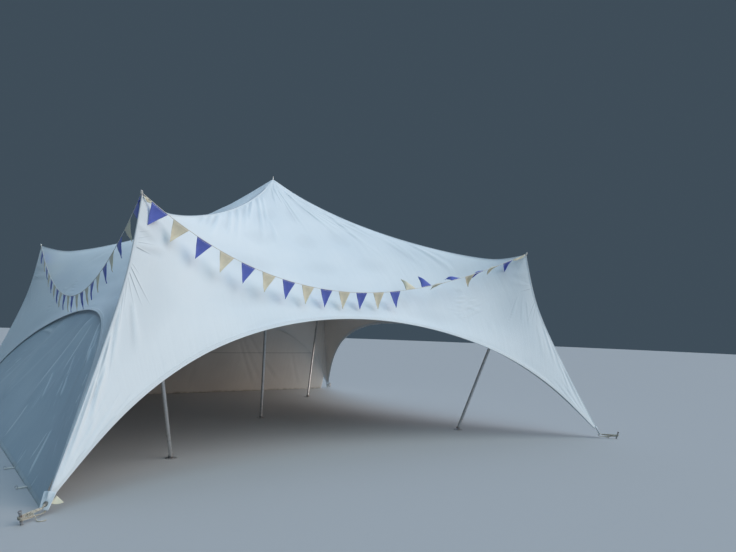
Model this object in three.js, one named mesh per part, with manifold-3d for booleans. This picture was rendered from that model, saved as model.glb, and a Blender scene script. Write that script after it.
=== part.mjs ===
import * as THREE from "three";
import { mergeVertices } from "three/addons/utils/BufferGeometryUtils.js";
import Module from "manifold-3d";

const wasm = await Module();
wasm.setup();
const { Manifold } = wasm;

// Lay-out of the tent in millimetres; the ground is z = 0 and the front arch faces -Y
const FOOT_R = 6385; // from the middle of the tent to the tip of a leg
const FOOT_Z = 50; // height of that tip over the ground
const PEAK_R = 5030; // from the middle to a corner peak
const PEAK_Z = 3320;
const BASE_R = 3820; // from the middle to the foot of a corner pole
const MAST_Z = 4775; // height of the middle peak
const GAP = 0.35; // clearance between two pieces that touch
const SHORT_EDGE = 0.15; // the ends of an edge shorter than this become one point

// How hard the cloth pulls: along the spokes, round the rings, in the ridges, legs and hems
const SPOKE_POWER = 0.64; // power by which the pull along a spoke grows outwards
const RING_PULL = 0.083;
const RING_POWER = -1.45; // power by which the pull round a ring falls outwards
const RIDGE_PULL = 0.182;
const LEG_PULL = 0.096;
const HEM_PULL = 0.15;
const PEAK_PULL = 10; // how many times stiffer the doubled cloth round a corner peak is
const PEAK_REACH = 0.12; // how far that reaches, as a share of the net

// The net that the cloth is worked out on
const RINGS = 16;
const SPOKES = 16; // in each quarter
const PEAK_RING = 12;
const SWEEPS = 1500;
const PUSH = 1.6; // over-relaxation of each sweep

// Cloth
const CLOTH = 6;
const EYE_R = 20; // hole at the middle peak
const BAND_START = 50; // a seam band starts this far from the middle peak
const MITRE_LEAST = 0.15; // least cosine used for the mitre of a layer over a ridge
const HEM_W = 60;
const HEM_OUT = 4; // how far a hem stands over the cloth's outer face
const HEM_IN = 10;
const BAND_HALF = 32; // half the width of the band over a diagonal seam
const BAND_T = 4;
const LEG_END = 170; // the cloth of a leg stops this far before its tip
const WALL_T = 6;
const WALL_LINE = 4500; // from the middle to the foot of a side wall
const WALL_HALF = 4260; // half the width of a wall at the ground
const WALL_TUCK = 85; // a wall's top edge lies this far behind the arch
const WALL_DROP = 32; // and this far under the cloth
const WALL_START = 0.5; // first column of a wall, in spokes from the foot
const WALL_ROWS = 4;

// Poles
const POLE_R = 26;
const HEAD_R = 32;
const COLLAR = 22; // straight part of a pole head
const NOSE_LONG = 150;
const NOSE_R = 11;
const PIN_R = 8;
const PROBE_LONG = 900; // length of pole kept clear of the cloth under a head
const SEAT_STEPS = 14; // halvings in the search for a head's seat
const PIN_OUT = 55; // how far a pin stands out over its peak
const SHOULDER = 0.1; // share of the nose that is its rounded shoulder
const SHOULDER_R = 0.92 * HEAD_R;
const SEAT_PLAY = 0.1; // a head sits this much lower than where it would touch the cloth
const BASE_PLATE_R = 80;
const BASE_PLATE_T = 8;
const ROUND = 16; // sides of a round piece

// Corner patches, stakes and lashings
const PATCH_T = 8;
const PATCH_LOW_W = 92;
const PATCH_HIGH_W = 128;
const EYELET_R = 18;
const EYELET_IN = 55; // from a leg's tip to its eyelet
const STAKE_R = 13;
const STAKE_OUT = 270; // from a leg's tip to its stake
const STAKE_LEAN = THREE.MathUtils.degToRad(18);
const STAKE_LONG = 135;
const STAKE_BURIED = 40; // drawn this far under the ground and then cut off level
const STAKE_HEAD_R = 18;
const STAKE_HEAD_T = 9;
const STAKE_SLOPE = 3; // height of the slopes under and over the head's rim
const ROPE_R = 6;
const LASH_PLAY = 3; // between the rope and the stake it runs round
const LASH_HIGH = 66; // height of the rope at the stake
const LASH_PITCH = 2; // drop of the rope at each eighth of its way round the stake
const LASH_KNEE = 90; // where the two runs of rope bend, out from the leg's tip
const LASH_KNEE_LOW = 40;
const LASH_KNEE_HIGH = 90;
const LASH_UNDER = 28; // how far the rope passes behind the patch

// Bunting
const STRING_R = 4;
const STRING_START = 11.4; // from a pin's axis to the end of a string
const STRING_OVER = 13; // a string is tied this far over its peak
const STRING_STEPS = 32;
const FLAG_W = 215;
const FLAG_H = 270;
const FLAG_T = 3;
const FLAG_COUNT = 21;
const FLAG_FIRST = 0.026; // share of a string before the middle of its first flag
const FLAG_PITCH = 0.0468; // from the middle of a flag to the next, also as a share
const END_FLAG_LEAN = 0.5; // the others hang square to their string, which is 1; plumb is 0
const STRINGS = [
  // the wind presses the front string towards the cloth and its weight lies nearer the left end
  { name: "front", other: 1, sag: 950, skew: 0.2, inwards: 300 },
  { name: "left", other: 3, sag: 1150, skew: 0, inwards: 0 },
];

const CORNERS = ["front_left", "front_right", "back_right", "back_left"];
const SIDES = ["front", "right", "back", "left"];
const cornerAngle = (index) => THREE.MathUtils.degToRad(225 + 90 * index);

const material = (color, roughness, metalness = 0) =>
  new THREE.MeshStandardMaterial({ color, roughness, metalness });
const canopyCloth = () => material(0xd6dde2, 0.75);
const hemCloth = () => material(0xeef1f2, 0.7);
const wallCloth = () => material(0xc9cfd4, 0.8);
const poleMetal = () => material(0xb4b7b8, 0.35, 0.9);
const stakeSteel = () => material(0x77787a, 0.5, 0.8);
const ropeFibre = () => material(0xe2dccb, 0.9);
const buntingCloth = () => material(0x5c5fa3, 0.85);

const group = new THREE.Group();

function addMesh(parent, name, solid, surface) {
  const mesh = new THREE.Mesh(solid, surface);
  mesh.name = name;
  parent.add(mesh);
  return mesh;
}

// Changes between three.js geometry and manifold solids
function toSolid(geometry) {
  const bare = new THREE.BufferGeometry();
  bare.setAttribute("position", geometry.getAttribute("position"));
  bare.setIndex(geometry.getIndex());
  const welded = mergeVertices(bare, 1e-3);
  const vertProperties = new Float32Array(welded.getAttribute("position").array);
  const triVerts = new Uint32Array(welded.getIndex().array);
  return new Manifold(new wasm.Mesh({ numProp: 3, vertProperties, triVerts }));
}

function toGeometry(solid) {
  const { vertProperties, triVerts } = solid.getMesh();
  const geometry = new THREE.BufferGeometry();
  geometry.setAttribute("position", new THREE.BufferAttribute(vertProperties, 3));
  geometry.setIndex(new THREE.BufferAttribute(triVerts, 1));
  geometry.computeVertexNormals();
  return geometry;
}

// A closed slab between two nets of points that have the same rows and columns; the quads of
// both nets are split along the same diagonal, so that the two faces keep their distance
function slab(outer, inner) {
  const rows = outer.length;
  const columns = outer[0].length;
  const points = [...outer.flat(), ...inner.flat()];
  const at = (row, column, side) => side * rows * columns + row * columns + column;
  const index = [];
  const quad = (a, b, c, d) => index.push(a, b, c, a, c, d);
  for (let row = 0; row < rows - 1; row++) {
    for (let column = 0; column < columns - 1; column++) {
      const far = column + 1;
      quad(at(row, column, 0), at(row + 1, column, 0), at(row + 1, far, 0), at(row, far, 0));
      quad(at(row, column, 1), at(row, far, 1), at(row + 1, far, 1), at(row + 1, column, 1));
    }
    const last = columns - 1;
    quad(at(row, 0, 0), at(row, 0, 1), at(row + 1, 0, 1), at(row + 1, 0, 0));
    quad(at(row, last, 1), at(row, last, 0), at(row + 1, last, 0), at(row + 1, last, 1));
  }
  for (let column = 0; column < columns - 1; column++) {
    const far = column + 1;
    const last = rows - 1;
    quad(at(0, column, 1), at(0, column, 0), at(0, far, 0), at(0, far, 1));
    quad(at(last, column, 0), at(last, column, 1), at(last, far, 1), at(last, far, 0));
  }
  const geometry = new THREE.BufferGeometry().setFromPoints(points);
  geometry.setIndex(index);
  if (signedVolume(points, index) < 0) {
    geometry.setIndex(index.reverse());
  }
  return toSolid(geometry);
}

function signedVolume(points, index) {
  let sum = 0;
  for (let i = 0; i < index.length; i += 3) {
    const [a, b, c] = [points[index[i]], points[index[i + 1]], points[index[i + 2]]];
    sum += a.dot(new THREE.Vector3().crossVectors(b, c));
  }
  return sum / 6;
}

// The stretched surface: from a plain star, each point is pulled to the weighted mean of its
// four neighbours until all pulls are in balance
function stretchedNet() {
  const count = 4 * SPOKES;
  const net = [];
  for (let ring = 0; ring <= RINGS; ring++) {
    const share = ring / RINGS;
    net.push([]);
    for (let spoke = 0; spoke < count; spoke++) {
      const angle = cornerAngle(0) + (spoke / SPOKES) * (Math.PI / 2);
      const out = share * FOOT_R * (0.75 + 0.25 * Math.abs(Math.cos(2 * (angle - cornerAngle(0)))));
      const start = new THREE.Vector3(out * Math.cos(angle), out * Math.sin(angle), MAST_Z * (1 - share));
      net[ring].push(start);
    }
  }
  for (let corner = 0; corner < 4; corner++) {
    const angle = cornerAngle(corner);
    const along = (r, z) => new THREE.Vector3(r * Math.cos(angle), r * Math.sin(angle), z);
    net[PEAK_RING][corner * SPOKES] = along(PEAK_R, PEAK_Z);
    net[RINGS][corner * SPOKES] = along(FOOT_R, FOOT_Z);
  }
  const isFixed = (ring, spoke) =>
    ring === 0 || (spoke % SPOKES === 0 && (ring === PEAK_RING || ring === RINGS));
  const spokePull = (ring, spoke) => {
    const cloth = ((ring + 0.5) / RINGS) ** SPOKE_POWER * (RINGS / SPOKES);
    const rope = ring < PEAK_RING ? RIDGE_PULL : LEG_PULL;
    return cloth + (spoke % SPOKES === 0 ? rope * RINGS : 0);
  };
  const ringPull = (ring, spoke) => {
    const share = ((spoke % SPOKES) + 0.5) / SPOKES;
    const aside = Math.min(share, 1 - share) / PEAK_REACH;
    const beyond = (ring - PEAK_RING) / RINGS / PEAK_REACH;
    const doubled = 1 + PEAK_PULL * Math.exp(-(aside ** 2) - beyond ** 2);
    const cloth = RING_PULL * (ring / RINGS) ** RING_POWER * (SPOKES / RINGS) * doubled;
    return ring < RINGS ? cloth : cloth / 2 + HEM_PULL * SPOKES;
  };
  for (let sweep = 0; sweep < SWEEPS; sweep++) {
    for (let ring = 1; ring <= RINGS; ring++) {
      for (let spoke = 0; spoke < count; spoke++) {
        if (isFixed(ring, spoke)) {
          continue;
        }
        const before = (spoke + count - 1) % count;
        const after = (spoke + 1) % count;
        const pulls = [
          [net[ring - 1][spoke], spokePull(ring - 1, spoke)],
          [net[ring][before], ringPull(ring, before)],
          [net[ring][after], ringPull(ring, spoke)],
        ];
        if (ring < RINGS) {
          pulls.push([net[ring + 1][spoke], spokePull(ring, spoke)]);
        }
        const mean = new THREE.Vector3();
        let total = 0;
        for (const [point, pull] of pulls) {
          mean.addScaledVector(point, pull);
          total += pull;
        }
        net[ring][spoke].lerp(mean.divideScalar(total), PUSH);
      }
    }
  }
  return net;
}

const net = stretchedNet();
const netPoint = (ring, spoke) => net[ring][(spoke + 4 * SPOKES) % (4 * SPOKES)];

// Outward normal of the cloth at a point of the net
function normalAt(ring, spoke) {
  const inside = netPoint(Math.max(ring - 1, 0), spoke);
  const outside = netPoint(Math.min(ring + 1, RINGS), spoke);
  const along = outside.clone().sub(inside);
  const ringUsed = Math.max(ring, 1);
  const across = netPoint(ringUsed, spoke + 1).clone().sub(netPoint(ringUsed, spoke - 1));
  return along.cross(across).normalize();
}

// Normal of the cloth just beside a diagonal ridge, on the side that a step of 1 or -1 says
function wingNormal(ring, spoke, step) {
  const used = Math.max(ring, 1);
  const inside = netPoint(Math.max(ring - 1, 0), spoke);
  const along = netPoint(Math.min(ring + 1, RINGS), spoke).clone().sub(inside);
  const wing = netPoint(used, spoke + step).clone().sub(netPoint(used, spoke));
  return along.cross(wing).multiplyScalar(step).normalize();
}

// Move from a ridge to the mitred edge of a layer that lies a distance over the cloth
function ridgeMove(ring, spoke, distance) {
  const normal = normalAt(ring, spoke);
  const share = Math.max(normal.dot(wingNormal(ring, spoke, 1)), MITRE_LEAST);
  return normal.multiplyScalar(distance / share);
}

// A quarter's net moved out by a distance, with its first ring at the eye of the middle peak
// and its two ridges kept a clearance away from the diagonal planes
function quarterNet(side, distance, clearance = 0) {
  const rows = [];
  for (let ring = 0; ring <= RINGS; ring++) {
    rows.push([]);
    for (let column = 0; column <= SPOKES; column++) {
      const spoke = side * SPOKES + column;
      const point = netPoint(ring, spoke).clone();
      if (ring === 0) {
        const next = netPoint(1, spoke);
        point.lerp(next, EYE_R / Math.hypot(next.x, next.y));
      }
      const isRidge = column % SPOKES === 0;
      const move = isRidge
        ? ridgeMove(ring, spoke, distance)
        : normalAt(ring, spoke).multiplyScalar(distance);
      const off = column === 0 ? clearance : column === SPOKES ? -clearance : 0;
      rows[ring].push(point.add(move).addScaledVector(crosswise(spoke), off));
    }
  }
  return rows;
}

// Level direction at right angles to a spoke
function crosswise(spoke) {
  const angle = cornerAngle(0) + (spoke / SPOKES) * (Math.PI / 2);
  return new THREE.Vector3(-Math.sin(angle), Math.cos(angle), 0);
}

// Cuts a solid of one quarter off short of the leg tips
function trimLegs(solid, side) {
  let trimmed = solid;
  for (const corner of [side, (side + 1) % 4]) {
    const tip = netPoint(RINGS, corner * SPOKES);
    const away = legDirection(corner);
    trimmed = trimmed.trimByPlane(away.clone().negate().toArray(), LEG_END - away.dot(tip));
  }
  return trimmed;
}

// Cuts a solid back to just inside the two diagonal planes of a quarter
function trimDiagonals(solid, side) {
  const from = crosswise(side * SPOKES);
  const to = crosswise((side + 1) * SPOKES).negate();
  return solid.trimByPlane(from.toArray(), GAP / 2).trimByPlane(to.toArray(), GAP / 2);
}

function legDirection(corner) {
  const tip = netPoint(RINGS, corner * SPOKES);
  return tip.clone().sub(netPoint(RINGS - 1, corner * SPOKES)).normalize();
}

// Direction in the cloth from a point of the hem inwards, at right angles to the hem
function inward(spoke) {
  const along = netPoint(RINGS, spoke + 1).clone().sub(netPoint(RINGS, spoke - 1)).normalize();
  const into = netPoint(RINGS - 1, spoke).clone().sub(netPoint(RINGS, spoke));
  return into.addScaledVector(along, -into.dot(along)).normalize();
}

// A band along the hem of one side, between two distances from its edge and two heights
function hemBand(side, from, to, high, low) {
  const nets = [high, low].map((height) => {
    const rows = [[], []];
    for (let column = 0; column <= SPOKES; column++) {
      const spoke = side * SPOKES + column;
      const next = column === 0 ? spoke + 1 : column === SPOKES ? spoke - 1 : spoke;
      const into = inward(next);
      const edge = netPoint(RINGS, spoke).clone().addScaledVector(normalAt(RINGS, next), height);
      rows[0].push(edge.clone().addScaledVector(into, from));
      rows[1].push(edge.clone().addScaledVector(into, to));
    }
    return rows;
  });
  return slab(nets[0], nets[1]);
}

// The main body of a solid, without the slivers that a cut leaves
function mainBody(solid) {
  return withoutShortEdges(solid.decompose().sort((a, b) => b.volume() - a.volume())[0]);
}

// The same solid with the two ends of each very short edge made one point
function withoutShortEdges(solid) {
  const { vertProperties, triVerts } = solid.getMesh();
  const point = (index) => new THREE.Vector3().fromArray(vertProperties, 3 * index);
  const merged = new Map();
  const kept = (index) => (merged.has(index) ? kept(merged.get(index)) : index);
  for (let i = 0; i < triVerts.length; i++) {
    const next = i % 3 === 2 ? i - 2 : i + 1;
    const [from, to] = [kept(triVerts[i]), kept(triVerts[next])];
    if (from !== to && point(from).distanceTo(point(to)) < SHORT_EDGE) {
      merged.set(to, from);
    }
  }
  const index = [];
  for (let i = 0; i < triVerts.length; i += 3) {
    const corners = [...triVerts.subarray(i, i + 3)].map(kept);
    if (new Set(corners).size === 3) {
      index.push(...corners);
    }
  }
  const geometry = new THREE.BufferGeometry();
  geometry.setAttribute("position", new THREE.BufferAttribute(vertProperties, 3));
  geometry.setIndex(index);
  return toSolid(geometry);
}

// Pole head along +Z: a straight collar below 0, a tapered nose and the pin that goes through the cloth
function headGeometry(pinTop, grow = 0) {
  const profile = [
    [0, -COLLAR - grow],
    [HEAD_R + grow, -COLLAR - grow],
    [HEAD_R + grow, 0],
    [SHOULDER_R + grow, NOSE_LONG * SHOULDER],
    [NOSE_R + grow, NOSE_LONG],
    [PIN_R + grow, NOSE_LONG + NOSE_R / 2 + grow],
    [PIN_R + grow, pinTop - PIN_R / 2],
    [0, pinTop + grow],
  ].map(([r, z]) => new THREE.Vector2(r, z));
  return new THREE.LatheGeometry(profile, ROUND).rotateX(Math.PI / 2);
}

// The nose, the collar and a length of pole, with the clearance, for finding the head's seat
function probeGeometry() {
  const profile = [
    [0, -PROBE_LONG],
    [HEAD_R + GAP, -PROBE_LONG],
    [HEAD_R + GAP, 0],
    [SHOULDER_R + GAP, NOSE_LONG * SHOULDER],
    [NOSE_R + GAP, NOSE_LONG],
    [0, NOSE_LONG + NOSE_R / 2],
  ].map(([r, z]) => new THREE.Vector2(r, z));
  return new THREE.LatheGeometry(profile, ROUND).rotateX(Math.PI / 2);
}

// A solid built along +Z, turned to an axis and put at a point
function placed(geometry, at, axis) {
  const turn = new THREE.Quaternion().setFromUnitVectors(new THREE.Vector3(0, 0, 1), axis);
  return toSolid(geometry.clone().applyQuaternion(turn).translate(at.x, at.y, at.z));
}

// Gores of the canopy, cut clear of the hems and of the leg tips
function goreSolid(side) {
  const whole = slab(quarterNet(side, 0, GAP / 2), quarterNet(side, -CLOTH, GAP / 2));
  const edgeSpace = hemBand(side, -HEM_W, HEM_W / 2, 4 * HEM_OUT, -3 * HEM_IN);
  const hemSpace = hemBand(side, 0, HEM_W + GAP, HEM_OUT + GAP, -HEM_IN - GAP);
  return mainBody(trimLegs(whole.subtract(edgeSpace).subtract(hemSpace), side));
}

// How far under a peak the collar of a head has to end to be just clear of the cloth
function seatDepth(peak, axis, cloth) {
  const probe = probeGeometry();
  let low = 0;
  let high = 3 * NOSE_LONG;
  for (let step = 0; step < SEAT_STEPS; step++) {
    const middle = (low + high) / 2;
    const place = peak.clone().addScaledVector(axis, -middle);
    if (placed(probe, place, axis).intersect(cloth).volume() > 0) {
      low = middle;
    } else {
      high = middle;
    }
  }
  return high + SEAT_PLAY;
}

const gores = SIDES.map((_, side) => goreSolid(side));

// The five poles: where each one stands, where it points and where its head sits
const poles = CORNERS.map((name, corner) => {
  const angle = cornerAngle(corner);
  const out = new THREE.Vector3(Math.cos(angle), Math.sin(angle), 0);
  const foot = out.clone().multiplyScalar(BASE_R);
  const peak = out.clone().multiplyScalar(PEAK_R).setZ(PEAK_Z);
  return { name, foot, peak, gore: gores[corner] };
});
poles.push({
  name: "middle",
  foot: new THREE.Vector3(),
  peak: new THREE.Vector3(0, 0, MAST_Z),
  gore: gores[0],
});

const clearOfHeads = [];
for (const pole of poles) {
  const axis = pole.peak.clone().sub(pole.foot).normalize();
  const depth = seatDepth(pole.peak, axis, pole.gore);
  const place = pole.peak.clone().addScaledVector(axis, -depth);
  const head = headGeometry(depth + PIN_OUT);
  const turn = new THREE.Quaternion().setFromUnitVectors(new THREE.Vector3(0, 0, 1), axis);
  const headMesh = addMesh(group, `pole_head_${pole.name}`, head, poleMetal());
  headMesh.position.copy(place);
  headMesh.quaternion.copy(turn);
  clearOfHeads.push(placed(headGeometry(depth + PIN_OUT, GAP), place, axis));

  const top = place.clone().addScaledVector(axis, -COLLAR - GAP);
  const long = top.distanceTo(pole.foot) + POLE_R;
  const tube = new THREE.CylinderGeometry(POLE_R, POLE_R, long, ROUND);
  tube.rotateX(Math.PI / 2).translate(0, 0, -long / 2);
  const shaft = placed(tube, top, axis).trimByPlane([0, 0, 1], BASE_PLATE_T + GAP);
  addMesh(group, `pole_${pole.name}`, toGeometry(shaft), poleMetal());

  const plate = new THREE.CylinderGeometry(BASE_PLATE_R, BASE_PLATE_R, BASE_PLATE_T, ROUND);
  plate.rotateX(Math.PI / 2);
  const plateMesh = addMesh(group, `pole_base_${pole.name}`, plate, stakeSteel());
  plateMesh.position.copy(pole.foot).setZ(BASE_PLATE_T / 2);
}
const headSpace = clearOfHeads.reduce((all, one) => all.add(one));

// Canopy quarters and the hem along each arch
const trimmedGores = gores.map((gore) => mainBody(gore.subtract(headSpace)));
SIDES.forEach((name, side) => {
  addMesh(group, `canopy_${name}`, toGeometry(trimmedGores[side]), canopyCloth());
  const wholeHem = hemBand(side, 0, HEM_W, HEM_OUT, -HEM_IN);
  const hem = mainBody(trimDiagonals(trimLegs(wholeHem, side), side));
  addMesh(group, `arch_hem_${name}`, toGeometry(hem), hemCloth());
});

// Bands over the diagonal seams, bent over the ridge and lying on the two gores
function seamBand(corner) {
  const spoke = corner * SPOKES;
  const rowsAt = (height) => {
    const rows = [];
    for (let ring = 0; ring <= RINGS; ring++) {
      const ridge = netPoint(ring, spoke).clone();
      if (ring === 0) {
        ridge.lerp(netPoint(1, spoke), BAND_START / ridge.distanceTo(netPoint(1, spoke)));
      }
      const used = Math.max(ring, 1);
      const wings = [-1, 1].map((step) => {
        const beside = netPoint(used, spoke + step).clone().sub(netPoint(used, spoke)).normalize();
        const point = ridge.clone().addScaledVector(beside, BAND_HALF);
        return point.addScaledVector(wingNormal(ring, spoke, step), height);
      });
      rows.push([wings[0], ridge.add(ridgeMove(ring, spoke, height)), wings[1]]);
    }
    return rows;
  };
  const band = slab(rowsAt(BAND_T + GAP), rowsAt(-CLOTH / 2));
  const away = legDirection(corner);
  const end = LEG_END - away.dot(netPoint(RINGS, spoke));
  return band.trimByPlane(away.negate().toArray(), end);
}

// Room that the cloth and the hems take, with the clearance, for cutting the bands
const clothSpace = SIDES.map((_, side) => {
  const cloth = slab(quarterNet(side, GAP), quarterNet(side, -CLOTH));
  const hem = hemBand(side, -HEM_W, HEM_W + GAP, HEM_OUT + GAP, -3 * HEM_IN);
  return cloth.add(hem);
}).reduce((all, one) => all.add(one));
CORNERS.forEach((name, corner) => {
  const band = mainBody(seamBand(corner).subtract(clothSpace).subtract(headSpace));
  addMesh(group, `seam_band_${name}`, toGeometry(band), hemCloth());
});

// Side walls hung behind the left and back arches, with their lower edge on the ground
function rimPoint(side, column) {
  const low = Math.floor(column);
  const share = column - low;
  const spoke = side * SPOKES + low;
  const tucked = (at) => {
    const point = netPoint(RINGS, at).clone();
    point.addScaledVector(inward(at), WALL_TUCK);
    return point.addScaledVector(normalAt(RINGS, at), -WALL_DROP);
  };
  const start = low === 0 ? netPoint(RINGS, spoke).clone() : tucked(spoke);
  const isLast = low + 1 >= SPOKES;
  const end = isLast ? netPoint(RINGS, spoke + 1).clone() : tucked(spoke + 1);
  return start.lerp(end, share);
}

function wallSolid(side) {
  const facing = cornerAngle(side) + Math.PI / 4;
  const out = new THREE.Vector3(Math.cos(facing), Math.sin(facing), 0);
  const along = new THREE.Vector3(-Math.sin(facing), Math.cos(facing), 0);
  const columns = [WALL_START];
  for (let column = 1; column < SPOKES; column++) {
    columns.push(column);
  }
  columns.push(SPOKES - WALL_START);
  const first = rimPoint(side, WALL_START).dot(along);
  const outer = [];
  const inner = [];
  for (let row = 0; row <= WALL_ROWS; row++) {
    const share = row / WALL_ROWS;
    outer.push([]);
    inner.push([]);
    for (const column of columns) {
      const top = rimPoint(side, column);
      const across = (top.dot(along) / Math.abs(first)) * WALL_HALF;
      const bottom = out.clone().multiplyScalar(WALL_LINE).addScaledVector(along, across);
      const point = bottom.lerp(top, share);
      outer[row].push(point);
      inner[row].push(point.clone().addScaledVector(out, -WALL_T));
    }
  }
  const hemSpace = hemBand(side, -HEM_W, HEM_W + GAP, HEM_OUT, -HEM_IN - GAP);
  return mainBody(slab(outer, inner).subtract(hemSpace));
}

for (const side of [2, 3]) {
  addMesh(group, `side_wall_${SIDES[side]}`, toGeometry(wallSolid(side)), wallCloth());
}

// Corner patch with its eyelet, the stake and the lashing, in a frame whose +X points outwards
const legOut = legDirection(0);
const fall = new THREE.Vector2(Math.hypot(legOut.x, legOut.y), legOut.z);
const onLeg = (back, off = 0) =>
  new THREE.Vector3(FOOT_R - back * fall.x - off * fall.y, 0, FOOT_Z - back * fall.y + off * fall.x);

function patchSolid() {
  const long = LEG_END - 2 * GAP;
  const shape = new THREE.Shape();
  shape.moveTo(0, -PATCH_LOW_W / 2);
  shape.lineTo(0, PATCH_LOW_W / 2);
  shape.lineTo(-long, PATCH_HIGH_W / 2);
  shape.lineTo(-long, -PATCH_HIGH_W / 2);
  const eyelet = new THREE.Path().absarc(-EYELET_IN, 0, EYELET_R, 0, 2 * Math.PI, true);
  shape.holes.push(eyelet);
  const plate = new THREE.ExtrudeGeometry(shape, {
    depth: PATCH_T,
    bevelEnabled: false,
    curveSegments: 8,
  });
  plate.translate(0, 0, -CLOTH - PATCH_T / 2);
  plate.rotateY(Math.atan2(-fall.y, fall.x));
  return plate.translate(FOOT_R, 0, FOOT_Z);
}

function stakeSolid() {
  const profile = [
    [0, -STAKE_BURIED],
    [STAKE_R, -STAKE_BURIED],
    [STAKE_R, STAKE_LONG - STAKE_HEAD_T - 2 * STAKE_SLOPE],
    [STAKE_HEAD_R, STAKE_LONG - STAKE_HEAD_T - STAKE_SLOPE],
    [STAKE_HEAD_R, STAKE_LONG - STAKE_SLOPE],
    [0, STAKE_LONG],
  ].map(([r, z]) => new THREE.Vector2(r, z));
  const bar = new THREE.LatheGeometry(profile, ROUND).rotateX(Math.PI / 2);
  const lean = new THREE.Vector3(Math.sin(STAKE_LEAN), 0, Math.cos(STAKE_LEAN));
  const place = new THREE.Vector3(FOOT_R + STAKE_OUT, 0, 0);
  return toGeometry(placed(bar, place, lean).trimByPlane([0, 0, 1], 0));
}

function lashingGeometry() {
  const round = STAKE_R + ROPE_R + LASH_PLAY;
  const stakeX = FOOT_R + STAKE_OUT + LASH_HIGH * Math.tan(STAKE_LEAN);
  const kneeX = FOOT_R + LASH_KNEE;
  const inEyelet = EYELET_IN - (EYELET_R - ROPE_R) + 1;
  const points = [onLeg(inEyelet - ROPE_R, 2 * ROPE_R + 2)];
  points.push(new THREE.Vector3(kneeX, -round * Math.SQRT1_2, LASH_KNEE_HIGH));
  for (let turn = -2; turn <= 2; turn++) {
    const angle = (turn * Math.PI) / 4;
    const x = stakeX + round * Math.cos(angle);
    points.push(new THREE.Vector3(x, round * Math.sin(angle), LASH_HIGH - LASH_PITCH * turn));
  }
  points.push(new THREE.Vector3(kneeX, round * Math.SQRT1_2, LASH_KNEE_LOW));
  points.push(onLeg(-4 * ROPE_R, -2 * ROPE_R), onLeg(0, -LASH_UNDER - ROPE_R));
  points.push(onLeg(inEyelet - ROPE_R, -LASH_UNDER), onLeg(inEyelet, -CLOTH));
  const route = new THREE.CatmullRomCurve3(points, true, "centripetal");
  return new THREE.TubeGeometry(route, 48, ROPE_R, 6, true);
}

CORNERS.forEach((name, corner) => {
  const place = new THREE.Group();
  place.rotation.z = cornerAngle(corner);
  addMesh(place, `corner_patch_${name}`, patchSolid(), hemCloth());
  addMesh(place, `stake_${name}`, stakeSolid(), stakeSteel());
  addMesh(place, `lashing_${name}`, lashingGeometry(), ropeFibre());
  group.add(place);
});

// Bunting between two corner pins: a sagging string with three-cornered flags under it
function buntingSolid(from, to, { sag, skew, inwards }) {
  const along = to.clone().sub(from).setZ(0).normalize();
  const across = new THREE.Vector3(-along.y, along.x, 0);
  if (across.dot(from) > 0) {
    across.negate();
  }
  const route = [];
  for (let i = 0; i <= STRING_STEPS; i++) {
    const share = i / STRING_STEPS;
    const bow = 4 * share * (1 - share);
    const point = from.clone().lerp(to, share).addScaledVector(across, inwards * bow);
    route.push(point.setZ(point.z - sag * bow * (1 + skew * (1 - 2 * share))));
  }
  const curve = new THREE.CatmullRomCurve3(route);
  const circle = new THREE.Shape().absarc(0, 0, STRING_R, 0, 2 * Math.PI);
  let solid = toSolid(
    new THREE.ExtrudeGeometry(circle, {
      extrudePath: curve,
      steps: STRING_STEPS,
      curveSegments: 4,
    }),
  );
  const half = FLAG_W / 2 / curve.getLength();
  for (let flag = 0; flag < FLAG_COUNT; flag++) {
    const centre = FLAG_FIRST + flag * FLAG_PITCH;
    const [start, end] = [curve.getPointAt(centre - half), curve.getPointAt(centre + half)];
    const edge = end.clone().sub(start).normalize();
    const lean = flag === 0 || flag === FLAG_COUNT - 1 ? END_FLAG_LEAN : 1;
    const fall = new THREE.Vector3(0, 0, -1).addScaledVector(edge, lean * edge.z).normalize();
    const corners = [start, end, curve.getPointAt(centre).addScaledVector(fall, FLAG_H)];
    const face = edge.clone().cross(fall).normalize();
    const rows = [1, -1].map((turn) => {
      const moved = corners.map((point) => point.clone().addScaledVector(face, (turn * FLAG_T) / 2));
      return [[moved[0], moved[1]], [moved[2], moved[2].clone()]];
    });
    solid = solid.add(flagSolid(rows[0], rows[1]));
  }
  return toGeometry(withoutShortEdges(solid));
}

function flagSolid(outer, inner) {
  const [a, b] = outer[0];
  const c = outer[1][0];
  const [d, e] = inner[0];
  const f = inner[1][0];
  const points = [a, b, c, d, e, f];
  const index = [0, 1, 2, 5, 4, 3, 0, 3, 4, 0, 4, 1, 1, 4, 5, 1, 5, 2, 2, 5, 3, 2, 3, 0];
  const geometry = new THREE.BufferGeometry().setFromPoints(points);
  geometry.setIndex(signedVolume(points, index) < 0 ? [...index].reverse() : index);
  return toSolid(geometry);
}

const stringEnd = (corner, towards) => {
  const pole = poles[corner];
  const axis = pole.peak.clone().sub(pole.foot).normalize();
  const pinTop = pole.peak.clone().addScaledVector(axis, STRING_OVER);
  const aside = towards.clone().sub(pinTop).setZ(0).normalize();
  return pinTop.addScaledVector(aside, STRING_START);
};
for (const string of STRINGS) {
  const from = stringEnd(0, poles[string.other].peak);
  const to = stringEnd(string.other, poles[0].peak);
  addMesh(group, `bunting_${string.name}`, buntingSolid(from, to, string), buntingCloth());
}

export default group;
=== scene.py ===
import math
import random

import bmesh
import bpy
import numpy as np
from mathutils import Matrix, Vector


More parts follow.
